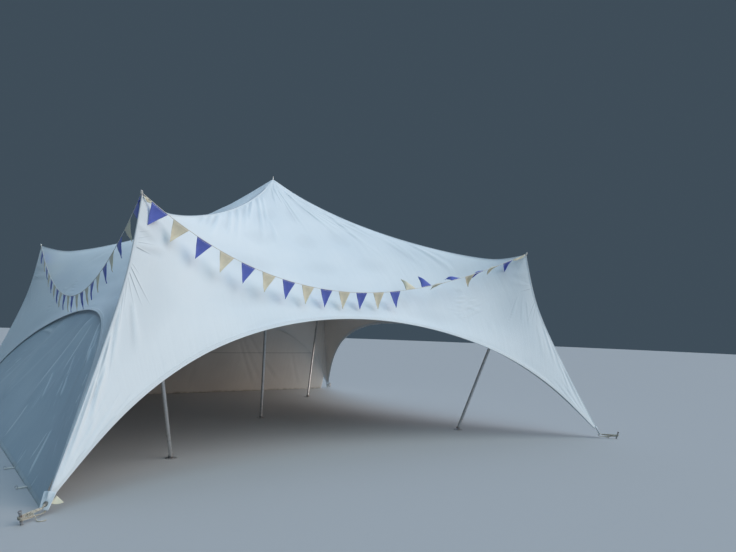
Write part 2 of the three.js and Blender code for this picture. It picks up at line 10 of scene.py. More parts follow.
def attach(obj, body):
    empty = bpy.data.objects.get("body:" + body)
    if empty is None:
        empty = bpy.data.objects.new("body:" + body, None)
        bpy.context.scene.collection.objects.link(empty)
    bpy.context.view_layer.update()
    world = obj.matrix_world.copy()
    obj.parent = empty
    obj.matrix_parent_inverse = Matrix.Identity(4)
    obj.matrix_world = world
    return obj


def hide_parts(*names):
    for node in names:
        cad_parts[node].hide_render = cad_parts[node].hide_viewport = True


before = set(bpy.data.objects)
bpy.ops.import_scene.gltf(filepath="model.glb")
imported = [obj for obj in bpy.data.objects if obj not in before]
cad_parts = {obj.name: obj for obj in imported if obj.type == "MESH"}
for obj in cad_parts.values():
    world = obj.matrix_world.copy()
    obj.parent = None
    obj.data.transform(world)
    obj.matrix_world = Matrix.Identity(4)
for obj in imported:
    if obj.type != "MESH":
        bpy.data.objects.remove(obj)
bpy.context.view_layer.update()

# Camera
# It stands on the ground off the front left corner, at a low eye height, and looks a little
# upwards along the diagonal that the photograph was taken on.
CAMERA_PLACE = Vector((-5.613, -10.876, 1.832))
CAMERA_AZIMUTH = math.radians(36.71)  # from +Y towards +X
CAMERA_PITCH = math.radians(4.92)
CAMERA_ROLL = math.radians(2.07)
CAMERA_LENS = 29.56

camera = bpy.data.objects.new("camera", bpy.data.cameras.new("camera"))
camera.data.lens = CAMERA_LENS
camera.data.sensor_width = 36
facing = Matrix.Rotation(-CAMERA_AZIMUTH, 4, "Z") @ Matrix.Rotation(math.pi / 2 + CAMERA_PITCH, 4, "X")
camera.matrix_world = Matrix.Translation(CAMERA_PLACE) @ facing @ Matrix.Rotation(CAMERA_ROLL, 4, "Z")
bpy.context.scene.collection.objects.link(camera)
bpy.context.scene.camera = camera

# Bunting strings
# A thin woven tape is tied to the pins of two neighbouring corner poles and sags between them.
# One runs along the front, pressed towards the cloth by the wind, and one along the left side.
CORNERS = ("front_left", "front_right", "back_right", "back_left")
SIDES = ("front", "right", "back", "left")
PEAK_OUT = 5.03  # from the middle of the tent to a corner peak
PEAK_HIGH = 3.32
BASE_OUT = 3.82  # from the middle to the foot of a corner pole
STRING_THICK = 0.008
STRING_FROM_PIN = 0.0114
STRING_OVER_PEAK = 0.013
STRING_POINTS = 25
PIN_R = 0.008
KNOT_PITCH = 0.0085
KNOT_BELOW = 0.004  # from the end of a string down to the first turn of its knot


def diagonal(corner):
    """Level direction from the middle of the tent to a corner."""
    angle = math.radians(225 + 90 * corner)
    return Vector((math.cos(angle), math.sin(angle), 0))


def corner_pole(corner):
    """Foot and peak of a corner pole, and the direction from one to the other."""
    foot = diagonal(corner) * BASE_OUT
    peak = diagonal(corner) * PEAK_OUT + Vector((0, 0, PEAK_HIGH))
    return foot, peak, (peak - foot).normalized()


def string_end(corner, other):
    """Where a string is tied to the pin of one corner on its way to the other."""
    _, peak, axis = corner_pole(corner)
    knot = peak + axis * STRING_OVER_PEAK
    aside = corner_pole(other)[1] - knot
    aside.z = 0
    return knot + aside.normalized() * STRING_FROM_PIN


def string_point(hang, share):
    """Point of a string at a share of its span; its sag is deeper at the first end if it is skewed."""
    start, end, sag, skew, inwards = hang
    bow = 4 * share * (1 - share)
    return start.lerp(end, share) + bow * Vector((0, inwards, -sag * (1 + skew * (1 - 2 * share))))


def put(tree, kind, inputs=None, **settings):
    """A shader node with its settings, and its inputs linked or set."""
    node = tree.nodes.new("ShaderNode" + kind)
    for name, value in settings.items():
        setattr(node, name, value)
    for key, value in (inputs or {}).items():
        if isinstance(value, bpy.types.NodeSocket):
            tree.links.new(value, node.inputs[key])
        else:
            node.inputs[key].default_value = value
    return node


def reckon(tree, operation, *values):
    """Result of one sum in a node tree."""
    return put(tree, "Math", dict(enumerate(values)), operation=operation).outputs[0]


def blend(tree, share, first, second):
    """Mix of two colours in a node tree."""
    return put(tree, "Mix", {"Factor": share, 6: first, 7: second}, data_type="RGBA").outputs[2]


def ramp(tree, value, low, high, start=0, end=1, **settings):
    """A value from between low and high, brought between start and end and held there."""
    given = {"Value": value, "From Min": low, "From Max": high, "To Min": start, "To Max": end}
    return put(tree, "MapRange", given, **settings).outputs[0]


def noise(tree, place, scale, detail=2, roughness=0.5):
    """Grey clouds over a place."""
    given = {"Vector": place, "Scale": scale, "Detail": detail, "Roughness": roughness}
    return put(tree, "TexNoise", given).outputs[0]


def object_place(tree):
    """The place of a point in the tent, in metres."""
    return put(tree, "TexCoord").outputs["Object"]


def parts(tree, vector):
    """The three parts of a vector."""
    return put(tree, "SeparateXYZ", {0: vector}).outputs


def bare_material(name, values=None):
    """A material with only its surface shader: the material, its tree and that shader."""
    material = bpy.data.materials.new(name)
    material.use_nodes = True
    tree = material.node_tree
    tree.nodes.clear()
    surface = put(tree, "BsdfPrincipled", values)
    put(tree, "OutputMaterial", {"Surface": surface.outputs[0]})
    return material, tree, surface


def finish_surface(tree, surface, colour, roughness, height, depth):
    """Links a colour, a roughness and a height in metres to a surface."""
    bump = put(tree, "Bump", {"Height": height, "Distance": depth, "Strength": 1.0}).outputs[0]
    for name, socket in (("Base Color", colour), ("Roughness", roughness), ("Normal", bump)):
        tree.links.new(socket, surface.inputs[name])


def tape_material():
    """Off-white cotton tape with a slanting weave."""
    material, tree, surface = bare_material("string_tape")
    place = object_place(tree)
    ribs = put(tree, "TexWave", {"Vector": place, "Scale": 160, "Distortion": 1.5},
               bands_direction="DIAGONAL").outputs["Fac"]
    colour = blend(tree, noise(tree, place, 9, 3), (0.62, 0.60, 0.55, 1), (0.80, 0.79, 0.74, 1))
    finish_surface(tree, surface, colour, reckon(tree, "MULTIPLY_ADD", ribs, 0.15, 0.75), ribs, 0.0006)
    return material


def new_piece(name, bm, *materials):
    """Makes a piece of a finished bmesh and lets it ride on the tent."""
    mesh = bpy.data.meshes.new(name)
    bm.to_mesh(mesh)
    bm.free()
    for material in materials:
        mesh.materials.append(material)
    piece = bpy.data.objects.new(name, mesh)
    bpy.context.scene.collection.objects.link(piece)
    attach(piece, "root")
    return piece


def coiled(name, place, axis, turns):
    """A few turns of the tape round a pin, with rounded ends tucked into the coil."""
    bm = bmesh.new()
    count, sides = 20, 10
    side = axis.orthogonal().normalized()
    other = axis.cross(side)
    r = STRING_THICK / 2
    rings = []
    for i in range(round(turns * count) + 1):
        angle = 2 * math.pi * i / count
        out = side * math.cos(angle) + other * math.sin(angle)
        centre = place + out * (PIN_R + r) + axis * (KNOT_PITCH * i / count)
        rings.append([bm.verts.new(centre + r * (out * math.cos(2 * math.pi * k / sides) +
                                                 axis * math.sin(2 * math.pi * k / sides)))
                      for k in range(sides)])
    for low, high in zip(rings, rings[1:]):
        for k in range(sides):
            bm.faces.new((low[k], low[(k + 1) % sides], high[(k + 1) % sides], high[k]))
    bm.faces.new(rings[0][::-1])
    bm.faces.new(rings[-1])
    for face in bm.faces:
        face.smooth = len(face.verts) == 4
    bmesh.ops.recalc_face_normals(bm, faces=bm.faces)
    coil = new_piece(name, bm, tape)
    return coil


tape = tape_material()
for corner, turns in ((0, 4.2), (1, 3.2), (3, 3.2)):
    _, peak, axis = corner_pole(corner)
    start = peak + axis * (STRING_OVER_PEAK - KNOT_BELOW)
    coiled(f"bunting_knot_{CORNERS[corner]}", start, axis, turns)

# each with its two ends, its sag, how much of that lies nearer the first end, and its bow inwards
hangs = {"front": (string_end(0, 1), string_end(1, 0), 0.95, 0.2, 0.30),
         "left": (string_end(0, 3), string_end(3, 0), 1.15, 0.0, 0.0)}
for side, hang in hangs.items():
    curve = bpy.data.curves.new(f"bunting_string_{side}", "CURVE")
    curve.dimensions = "3D"
    curve.bevel_depth = STRING_THICK / 2
    curve.bevel_resolution = 3
    curve.use_fill_caps = True
    spline = curve.splines.new("BEZIER")
    spline.bezier_points.add(STRING_POINTS - 1)
    for i, point in enumerate(spline.bezier_points):
        point.co = string_point(hang, i / (STRING_POINTS - 1))
        point.handle_left_type = "AUTO"
        point.handle_right_type = "AUTO"
    string = bpy.data.objects.new(curve.name, curve)
    bpy.context.scene.collection.objects.link(string)
    curve.materials.append(tape)
    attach(string, "root")
    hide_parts(f"bunting_{side}")

# Bunting flags
# Three-cornered pieces of thin cotton, violet-blue and cream by turns, sewn to the tape by their
# top edge. Those on the front string near the right corner are blown up and twisted by the wind.
FLAG_COUNT = 21
FLAG_FIRST = 0.026  # share of a string before the middle of its first flag
FLAG_PITCH = 0.0468
FLAG_WIDE = 0.215
FLAG_LONG = 0.27
FLAG_HANGS = 0.267  # from the top of a flag to its tip, as it billows a little
FLAG_THICK = 0.0012
FLAG_ROWS = 12
FLAG_COLUMNS = 10
FLAG_BLUE = (0.12, 0.17, 0.60, 1)
FLAG_CREAM = (0.84, 0.78, 0.60, 1)
# where the wind holds the tip of a flag: metres along the string, in towards the cloth and up
BLOWN = {13: (-0.085, 0.17, 0.165), 14: (-0.07, 0.16, 0.175), 15: (-0.08, 0.20, -0.115),
         16: (-0.09, 0.22, -0.01), 17: (0.05, 0.10, -0.20), 18: (-0.06, 0.20, -0.12),
         19: (-0.05, 0.16, -0.15), 20: (0.08, 0.15, -0.18)}
# how far some flags have slid along the front string, as a share of it
SLIPPED = {0: 0.006, 17: -0.0055, 18: -0.011, 19: -0.0165, 20: -0.022}
# flags folded up along their string next to a pin: the share where each starts and ends, and its cloth
FOLDED = {"front": ((0.002, 0.016, 0), (0.957, 0.996, 0)), "left": ((0.002, 0.014, 1),)}
FOLDED_DEEP = 0.045
FOLDED_ROWS = 4
STITCH_HALF = 0.0012  # half the width of a thread
STITCH_SHARE = 0.68  # of the pitch of a row that its thread covers


def laid_mesh(name, points, along, across, *materials, joined=False, crease=None):
    """A new piece on a grid whose rows and columns of points are given, with a map in metres.

    A crease, if given, is the height of each point over the smooth cloth as a share from -1 to 1."""
    rows, columns = points.shape[:2]
    bm = bmesh.new()
    bmesh.ops.create_grid(bm, x_segments=columns - 1, y_segments=rows - 1, size=1)
    cloth_map = bm.loops.layers.uv.new("cloth")
    creased = bm.verts.layers.float.new("crease")
    places = {}
    for vert in bm.verts:
        column = round((vert.co.x + 1) / 2 * (columns - 1))
        row = round((vert.co.y + 1) / 2 * (rows - 1))
        places[vert.index] = (row, column)
        vert.co = points[row, column]
        if crease is not None:
            vert[creased] = crease[row, column]
    for face in bm.faces:
        face.smooth = True
        for loop in face.loops:
            row, column = places[loop.vert.index]
            loop[cloth_map].uv = (across[row, column], along[row, column])
    if joined:
        bmesh.ops.remove_doubles(bm, verts=bm.verts, dist=1e-6)
    return new_piece(name, bm, *materials)


def flag_points(hang, index, side, offset):
    """Grid of points of one flag, hung from its string with its tip at an offset from its middle."""
    span = (hang[1] - hang[0]).length
    centre = FLAG_FIRST + FLAG_PITCH * index
    if side == "front":
        centre += SLIPPED.get(index, 0)
    half = FLAG_WIDE / 2 / span
    middle = string_point(hang, centre)
    along = (string_point(hang, centre + half) - string_point(hang, centre - half)).normalized()
    face = along.cross(offset).normalized()
    slack = max(FLAG_LONG - offset.length, 0.002)
    bulge = math.sqrt(4 * offset.length * slack) / math.pi
    points = np.zeros((FLAG_ROWS + 1, FLAG_COLUMNS + 1, 3))
    for row in range(FLAG_ROWS + 1):
        fall = row / FLAG_ROWS
        for column in range(FLAG_COLUMNS + 1):
            aside = column / FLAG_COLUMNS - 0.5
            top = string_point(hang, centre + 2 * aside * half) - Vector((0, 0, STRING_THICK / 2))
            billow = bulge * math.sin(math.pi * fall) * math.cos(math.pi * aside * 0.8)
            ripple = 0.005 * math.sin(9 * fall + 7 * aside + index) * fall
            points[row, column] = top.lerp(middle + offset, fall) + face * (billow + ripple)
    return points


def pour(store, piece, cloth=0):
    """Adds a piece's mesh to a bmesh, in one of its materials, and removes the piece."""
    mesh = piece.data
    for polygon in mesh.polygons:
        polygon.material_index = cloth
    store.from_mesh(mesh)
    bpy.data.objects.remove(piece)
    bpy.data.meshes.remove(mesh)


def thicken(piece, thickness, offset):
    """Gives a sheet its thickness, inwards where the offset is -1."""
    solid = piece.modifiers.new("thickness", "SOLIDIFY")
    solid.thickness = thickness
    solid.offset = offset
    return solid


def cloth_place(tree):
    """The place of a point on its cloth, across and along it in metres."""
    return put(tree, "UVMap", uv_map="cloth").outputs[0]


def new_group(name, inputs, gives):
    """An empty node group with the kinds of its named inputs: the group, its inputs and its output."""
    group = bpy.data.node_groups.new(name, "ShaderNodeTree")
    for label, kind in inputs.items():
        group.interface.new_socket(label, in_out="INPUT", socket_type="NodeSocket" + kind)
    group.interface.new_socket(gives, in_out="OUTPUT", socket_type="NodeSocketFloat")
    return group, group.nodes.new("NodeGroupInput").outputs, group.nodes.new("NodeGroupOutput").inputs[gives]


def weave_group():
    """Height of a plain weave, from a place on the cloth in metres and the threads to a metre."""
    group, given, result = new_group("plain_weave", {"Place": "Vector", "Threads": "Float"}, "Height")
    place = parts(group, given["Place"])
    turns = reckon(group, "MULTIPLY", given["Threads"], math.pi)
    warp, weft = (reckon(group, "SINE", reckon(group, "MULTIPLY", place[axis], turns)) for axis in range(2))
    group.links.new(reckon(group, "MULTIPLY_ADD", reckon(group, "MULTIPLY", warp, weft), 0.5, 0.5), result)
    return group


def stitch_group():
    """Mask of a row of stitches, from metres along it and across it, and its place across."""
    given_names = dict.fromkeys(("Along", "Across", "Row", "Pitch"), "Float")
    group, given, result = new_group("stitch_row", given_names, "Thread")
    aside = reckon(group, "ABSOLUTE", reckon(group, "SUBTRACT", given["Across"], given["Row"]))
    on_row = reckon(group, "LESS_THAN", aside, STITCH_HALF)
    step = reckon(group, "FRACT", reckon(group, "DIVIDE", given["Along"], given["Pitch"]))
    on_thread = reckon(group, "LESS_THAN", step, STITCH_SHARE)
    group.links.new(reckon(group, "MULTIPLY", on_row, on_thread), result)
    return group


WEAVE = weave_group()
STITCH = stitch_group()


def stitches(tree, along, across, row, pitch=0.006):
    """Mask of one row of stitches on a cloth."""
    given = {"Along": along, "Across": across, "Row": row, "Pitch": pitch}
    return put(tree, "Group", given, node_tree=STITCH).outputs[0]


def flag_material(name, colour):
    """Thin cotton that lets a little of its tone vary, with a sewn top edge."""
    material, tree, surface = bare_material(name, {"Sheen Weight": 0.25})
    place = cloth_place(tree)
    along, below, _ = parts(tree, place)
    weave = put(tree, "Group", {"Place": place, "Threads": 1400}, node_tree=WEAVE).outputs[0]
    worn = noise(tree, place, 14, 4)
    tone = blend(tree, worn, tuple(0.72 * c for c in colour[:3]) + (1,), colour)
    tone = blend(tree, stitches(tree, along, below, 0.012, 0.004), tone, (0.75, 0.74, 0.70, 1))
    finish_surface(tree, surface, tone, reckon(tree, "MULTIPLY_ADD", worn, 0.15, 0.75), weave, 0.0003)
    return material


flag_cloths = (flag_material("flag_cream", FLAG_CREAM), flag_material("flag_blue", FLAG_BLUE))
for side, hang in hangs.items():
    gust = random.Random(7 if side == "front" else 11)
    inwards = Vector((0, 1, 0)) if side == "front" else Vector((1, 0, 0))
    onwards = (hang[1] - hang[0]).normalized()
    flags = bmesh.new()
    for index in range(FLAG_COUNT):
        middle = FLAG_FIRST + FLAG_PITCH * index
        ahead = (string_point(hang, middle + 0.01) - string_point(hang, middle - 0.01)).normalized()
        square = (ahead * ahead.z - Vector((0, 0, 1))).normalized()
        swing = math.radians(gust.uniform(-2, 9))
        offset = FLAG_HANGS * (square * math.cos(swing) + inwards * math.sin(swing))
        offset += ahead * gust.uniform(-0.01, 0.01)
        if side == "front" and index in BLOWN:
            on, inward, up = BLOWN[index]
            offset = onwards * on + inwards * inward + Vector((0, 0, up))
        points = flag_points(hang, index, side, offset)
        shares = np.linspace(0, 1, FLAG_ROWS + 1)[:, None]
        asides = np.linspace(-0.5, 0.5, FLAG_COLUMNS + 1)[None, :] * (1 - shares) * FLAG_WIDE
        falls = np.repeat(shares * FLAG_LONG, FLAG_COLUMNS + 1, axis=1)
        flag = laid_mesh(f"flag_{side}_{index}", points, falls, asides + index, joined=True)
        pour(flags, flag, (index + 1) % 2)
    for first, last, cloth in FOLDED[side]:
        steps, shares = np.linspace(0, 1, FOLDED_ROWS + 1), np.linspace(first, last, FLAG_COLUMNS + 1)
        points = np.zeros((FOLDED_ROWS + 1, FLAG_COLUMNS + 1, 3))
        for row, step in enumerate(steps):
            for column, share in enumerate(shares.tolist()):
                deep = FOLDED_DEEP * math.sin(math.pi * (column + 0.6) / (FLAG_COLUMNS + 1.2)) ** 0.6
                low = Vector((0, 0, -deep * step)) + inwards * (0.012 * math.sin(3 * step + column))
                points[row, column] = string_point(hang, share) - Vector((0, 0, STRING_THICK / 2)) + low
        long = (last - first) * (hang[1] - hang[0]).length
        asides, falls = np.meshgrid(np.linspace(0, long, FLAG_COLUMNS + 1), steps * FOLDED_DEEP)
        pour(flags, laid_mesh("folded", points, falls, asides), cloth)
    flags_piece = new_piece(f"bunting_flags_{side}", flags, *flag_cloths)
    thicken(flags_piece, FLAG_THICK, 0)
    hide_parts(f"bunting_{side}")

# Poles
# Five two-part aluminium tubes stand on the ground, one in the middle and four leaning outwards
# to the corner peaks. The upper tube slides in the lower one and is held by a clamped collar.
MAST_HIGH = 4.775
HEAD_BELOW_CORNER = 0.2708  # from a peak down to the collar of its pole head
HEAD_BELOW_MIDDLE = 0.1337
COLLAR_LONG = 0.022
TUBE_R = 0.026
UPPER_R = 0.0235
JOINT_SHARE = 0.56
JOINT_R = 0.0295
JOINT_LONG = 0.06
PLATE_R = 0.08
PLATE_THICK = 0.008
BOLT_R = 0.007
NOSE_LONG = 0.15  # of the cone of a pole head, over its collar


def turned_piece(name, profile, place, axis, material, steps=40):
    """A piece turned round an axis: profile lists its radius and height, from the axis to the axis."""
    bm = bmesh.new()
    verts = [bm.verts.new((r, 0, z)) for r, z in profile]
    edges = [bm.edges.new(pair) for pair in zip(verts, verts[1:])]
    bmesh.ops.spin(bm, geom=verts + edges, axis=(0, 0, 1), cent=(0, 0, 0),
                   angle=2 * math.pi, steps=steps, use_merge=True)
    bmesh.ops.remove_doubles(bm, verts=bm.verts, dist=1e-6)
    bmesh.ops.recalc_face_normals(bm, faces=bm.faces)
    for face in bm.faces:
        face.smooth = True
    for edge in bm.edges:
        edge.smooth = edge.calc_face_angle(0) < math.radians(30)
    turn = Vector((0, 0, 1)).rotation_difference(axis).to_matrix().to_4x4()
    bmesh.ops.transform(bm, matrix=Matrix.Translation(place) @ turn, verts=bm.verts)
    return new_piece(name, bm, material)


def pole_material():
    """Drawn aluminium, dulled, with fine scratches along the tube and scuffs near the ground."""
    material, tree, surface = bare_material("pole_aluminium", {"Metallic": 0.85})
    place = object_place(tree)
    drawn = put(tree, "Mapping", {"Vector": place, "Scale": (320, 320, 2)}).outputs[0]
    lines = noise(tree, drawn, 1, 3)
    low = ramp(tree, parts(tree, place)[2], 0.02, 0.5, 1, 0.25)
    scuff = reckon(tree, "MULTIPLY", ramp(tree, noise(tree, place, 22, 5), 0.5, 0.7), low)
    colour = blend(tree, scuff, (0.62, 0.63, 0.64, 1), (0.33, 0.32, 0.30, 1))
    roughness = reckon(tree, "MULTIPLY_ADD", scuff, 0.35, reckon(tree, "MULTIPLY_ADD", lines, 0.2, 0.26))
    finish_surface(tree, surface, colour, roughness, lines, 0.0004)
    return material


def steel_material():
    """Galvanised steel with a mottled spangle, and rust at worn places."""
    material, tree, surface = bare_material("galvanised_steel", {"Metallic": 0.6})
    place = object_place(tree)
    spangle = put(tree, "TexVoronoi", {"Vector": place, "Scale": 90}).outputs["Color"]
    grey = blend(tree, parts(tree, spangle)[0], (0.30, 0.31, 0.32, 1), (0.42, 0.43, 0.44, 1))
    stain = noise(tree, place, 16, 6)
    rust = ramp(tree, stain, 0.55, 0.68)
    colour = blend(tree, rust, grey, (0.17, 0.10, 0.06, 1))
    finish_surface(tree, surface, colour, reckon(tree, "MULTIPLY_ADD", rust, 0.35, 0.42), stain, 0.0008)
    return material


aluminium = pole_material()
steel = steel_material()
poles = [(name, *corner_pole(i), HEAD_BELOW_CORNER) for i, name in enumerate(CORNERS)]
poles.append(("middle", Vector(), Vector((0, 0, MAST_HIGH)), Vector((0, 0, 1)), HEAD_BELOW_MIDDLE))
for name, foot, peak, axis, below in poles:
    lean = math.sqrt(1 - axis.z ** 2) / axis.z
    start = foot + axis * (PLATE_THICK + TUBE_R * lean)
    long = (peak - start).length - below - COLLAR_LONG - 0.0005
    joint = long * JOINT_SHARE
    profile = [(0, 0), (TUBE_R - 0.002, 0), (TUBE_R, 0.002), (TUBE_R, joint - 0.002), (JOINT_R, joint),
               (JOINT_R + 0.001, joint + 0.004), (JOINT_R + 0.001, joint + JOINT_LONG - 0.004),
               (JOINT_R, joint + JOINT_LONG), (UPPER_R, joint + JOINT_LONG + 0.004),
               (UPPER_R, long - 0.002), (UPPER_R - 0.002, long), (0, long)]
    tube = turned_piece(f"pole_tube_{name}", profile, start, axis, aluminium)
    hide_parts(f"pole_{name}")

    bolt = bmesh.new()
    bmesh.ops.create_cone(bolt, cap_ends=True, segments=6, radius1=BOLT_R, radius2=BOLT_R,
                          depth=2 * JOINT_R + 0.018)
    bmesh.ops.bevel(bolt, geom=bolt.edges, offset=0.001, segments=2, affect="EDGES", profile=0.5, material=-1)
    sideways = axis.orthogonal().normalized()
    turn = Vector((0, 0, 1)).rotation_difference(sideways).to_matrix().to_4x4()
    at = start + axis * (joint + JOINT_LONG / 2)
    bmesh.ops.transform(bolt, matrix=Matrix.Translation(at) @ turn, verts=bolt.verts)
    clamp = new_piece(f"pole_clamp_bolt_{name}", bolt, steel)

    place = peak - axis * below
    top = below + 0.055
    profile = [(0, -COLLAR_LONG), (0.031, -COLLAR_LONG), (0.032, 0.001 - COLLAR_LONG), (0.032, 0),
               (0.0310, 0.010), (0.0290, 0.022), (0.0205, 0.082), (0.0135, 0.130), (0.011, NOSE_LONG),
               (0.0088, NOSE_LONG + 0.004), (PIN_R, NOSE_LONG + 0.010), (PIN_R, top - 0.006),
               (0.0065, top - 0.002), (0.003, top), (0, top + 0.0004)]
    head = turned_piece(f"pole_tip_{name}", profile, place, axis, aluminium)
    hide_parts(f"pole_head_{name}")

    profile = [(0, 0), (PLATE_R - 0.0015, 0), (PLATE_R, 0.0015), (PLATE_R, PLATE_THICK - 0.002),
               (PLATE_R - 0.002, PLATE_THICK), (0.046, PLATE_THICK), (0, PLATE_THICK)]
    plate = turned_piece(f"pole_plate_{name}", profile, foot, Vector((0, 0, 1)), steel, 56)
    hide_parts(f"pole_base_{name}")

    ring = [(0.0270, 0.002), (0.0305, 0.0), (0.0320, 0.004), (0.0320, 0.030), (0.0305, 0.032),
            (0.0270, 0.031), (0.0270, 0.002)]
    place = foot + Vector((0, 0, 0.001)) + axis * (0.007 + 0.032 * lean)
    socket = turned_piece(f"pole_socket_{name}", ring, place, axis, steel)

# Canopy
# One cloth of coated stretch fabric, made of four gores, is pushed up by the poles and pulled down
# by its four legs. Its shape is the balance of the pulls along and round it.
LEG_OUT = 6.385  # from the middle of the tent to the tip of a leg
LEG_HIGH = 0.05
RINGS = 16
SPOKES = 16  # in each gore
PEAK_RING = 12
SPOKE_POWER = 0.64
RING_PULL = 0.083
RING_POWER = -1.45
RIDGE_PULL = 0.182
LEG_PULL = 0.096
HEM_PULL = 0.15
PEAK_PULL = 10
PEAK_REACH = 0.12
CLOTH_THICK = 0.003
EYE_RING = 0.045  # the hole at the middle peak, as a share of the first ring
EDGE_RING = 15.992
FINE_COLUMNS = 181
LEG_CUT = 0.16  # the cloth of a leg stops this far before its tip


def spoke_pull(ring, spoke):
    """Pull of the cloth between one ring and the next, with the tape of a corner spoke."""
    rope = RIDGE_PULL if ring < PEAK_RING else LEG_PULL
    return ((ring + 0.5) / RINGS) ** SPOKE_POWER + (rope * RINGS if spoke % SPOKES == 0 else 0)


def ring_pull(ring, spoke):
    """Pull of the cloth between one spoke and the next, stiffer round the corner peaks."""
    share = (spoke % SPOKES + 0.5) / SPOKES
    aside = min(share, 1 - share) / PEAK_REACH
    beyond = (ring - PEAK_RING) / RINGS / PEAK_REACH
    doubled = 1 + PEAK_PULL * math.exp(-aside ** 2 - beyond ** 2)
    cloth = RING_PULL * (ring / RINGS) ** RING_POWER * doubled
    return cloth if ring < RINGS else cloth / 2 + HEM_PULL * SPOKES


def stretched_net():
    """Rings and spokes of the cloth, each free point at rest between its four neighbours."""
    count = 4 * SPOKES
    held = {(0, spoke): Vector((0, 0, MAST_HIGH)) for spoke in range(count)}
    for corner in range(4):
        held[PEAK_RING, corner * SPOKES] = diagonal(corner) * PEAK_OUT + Vector((0, 0, PEAK_HIGH))
        held[RINGS, corner * SPOKES] = diagonal(corner) * LEG_OUT + Vector((0, 0, LEG_HIGH))
    knots = [(ring, spoke) for ring in range(RINGS + 1) for spoke in range(count)]
    free = {knot: i for i, knot in enumerate(k for k in knots if k not in held)}
    sums = np.zeros((len(free), len(free)))
    loads = np.zeros((len(free), 3))
    for (ring, spoke), i in free.items():
        before = (spoke - 1) % count
        pulls = {(ring - 1, spoke): spoke_pull(ring - 1, spoke), (ring, before): ring_pull(ring, before),
                 (ring, (spoke + 1) % count): ring_pull(ring, spoke)}
        if ring < RINGS:
            pulls[ring + 1, spoke] = spoke_pull(ring, spoke)
        for knot, pull in pulls.items():
            sums[i, i] += pull
            if knot in held:
                loads[i] += pull * np.array(held[knot])
            else:
                sums[i, free[knot]] -= pull
    found = np.linalg.solve(sums, loads)
    net = np.zeros((RINGS + 1, count, 3))
    for knot in knots:
        net[knot] = held[knot] if knot in held else found[free[knot]]
    return net


def smooth_line(knots, places):
    """A natural spline through knots at 0, 1, 2 and so on, read at some places."""
    count = len(knots)
    flat = np.reshape(knots, (count, -1))
    bends = np.zeros_like(flat)
    inner = count - 2
    sums = 4 * np.eye(inner) + np.eye(inner, k=1) + np.eye(inner, k=-1)
    bends[1:-1] = np.linalg.solve(sums, 6 * (flat[:-2] - 2 * flat[1:-1] + flat[2:]))
    low = np.clip(np.floor(places).astype(int), 0, count - 2)
    b = (places - low)[:, None]
    a = 1 - b
    line = a * flat[low] + b * flat[low + 1]
    line += ((a ** 3 - a) * bends[low] + (b ** 3 - b) * bends[low + 1]) / 6
    return line.reshape((len(places), *np.shape(knots)[1:]))


NET = stretched_net()
ring_places = np.concatenate((np.arange(EYE_RING, 11.6, 0.11), np.arange(11.6, 13.6, 0.035),
                              np.arange(13.6, 15.9, 0.07), (15.93, EDGE_RING)))
even = np.linspace(0, 1, FINE_COLUMNS)
column_places = SPOKES * (0.45 * even + 0.55 * (0.5 - 0.5 * np.cos(math.pi * even)))


def smooth_gore(side):
    """Fine points of one gore: straight through its own cloth, with a kink at each corner peak."""
    columns = NET[:, [(side * SPOKES + j) % (4 * SPOKES) for j in range(SPOKES + 1)]]
    fine = smooth_line(columns, ring_places)
    inside = ring_places <= PEAK_RING
    for edge in (0, SPOKES):
        ridge = smooth_line(columns[: PEAK_RING + 1, edge], ring_places[inside])
        leg = smooth_line(columns[PEAK_RING:, edge], ring_places[~inside] - PEAK_RING)
        fine[:, edge] = np.concatenate((ridge, leg))
    return smooth_line(fine.swapaxes(0, 1), column_places).swapaxes(0, 1)


def unit(vectors):
    """Vectors cut down to a length of one."""
    return vectors / np.linalg.norm(vectors, axis=-1, keepdims=True)


def outward(points):
    """Outward normals of a grid of points, and the size of a ring and a column at each."""
    down = np.gradient(points, ring_places, axis=0)
    aside = np.gradient(points, column_places, axis=1)
    return unit(np.cross(down, aside)), np.linalg.norm(down, axis=2), np.linalg.norm(aside, axis=2)


def ease(low, high, value):
    """Smooth step from 0 at low to 1 at high."""
    share = np.clip((value - low) / (high - low), 0, 1)
    return share * share * (3 - 2 * share)


def on_grid(grid, place):
    """Value of a fine grid at a column and ring."""
    row = np.interp(place[1], ring_places, np.arange(len(ring_places)))
    column = np.interp(place[0], column_places, np.arange(len(column_places)))
    i, j = min(int(row), len(ring_places) - 2), min(int(column), len(column_places) - 2)
    low = grid[i, j] + (grid[i, j + 1] - grid[i, j]) * (column - j)
    high = grid[i + 1, j] + (grid[i + 1, j + 1] - grid[i + 1, j]) * (column - j)
    return low + (high - low) * (row - i)


def fold_height(points, normal, start, end, width, depth):
    """Height of a straight fold between two places, each a column and a ring, that widens."""
    first, last = on_grid(points, start), on_grid(points, end)
    long = np.linalg.norm(last - first)
    ahead = (last - first) / long
    across = unit(np.cross(ahead, on_grid(normal, np.add(start, end) / 2)))
    share = (points - first) @ ahead / long
    aside = (points - first) @ across
    wide = width * (0.6 + 0.8 * np.clip(share, 0, 1))
    taper = ease(-0.02, 0.12, share) * (1 - ease(0.5, 1.0, share))
    crest = np.exp(-(aside / wide) ** 2) - 0.7 * np.exp(-((aside - 1.6 * wide) / wide) ** 2)
    return depth * taper * crest


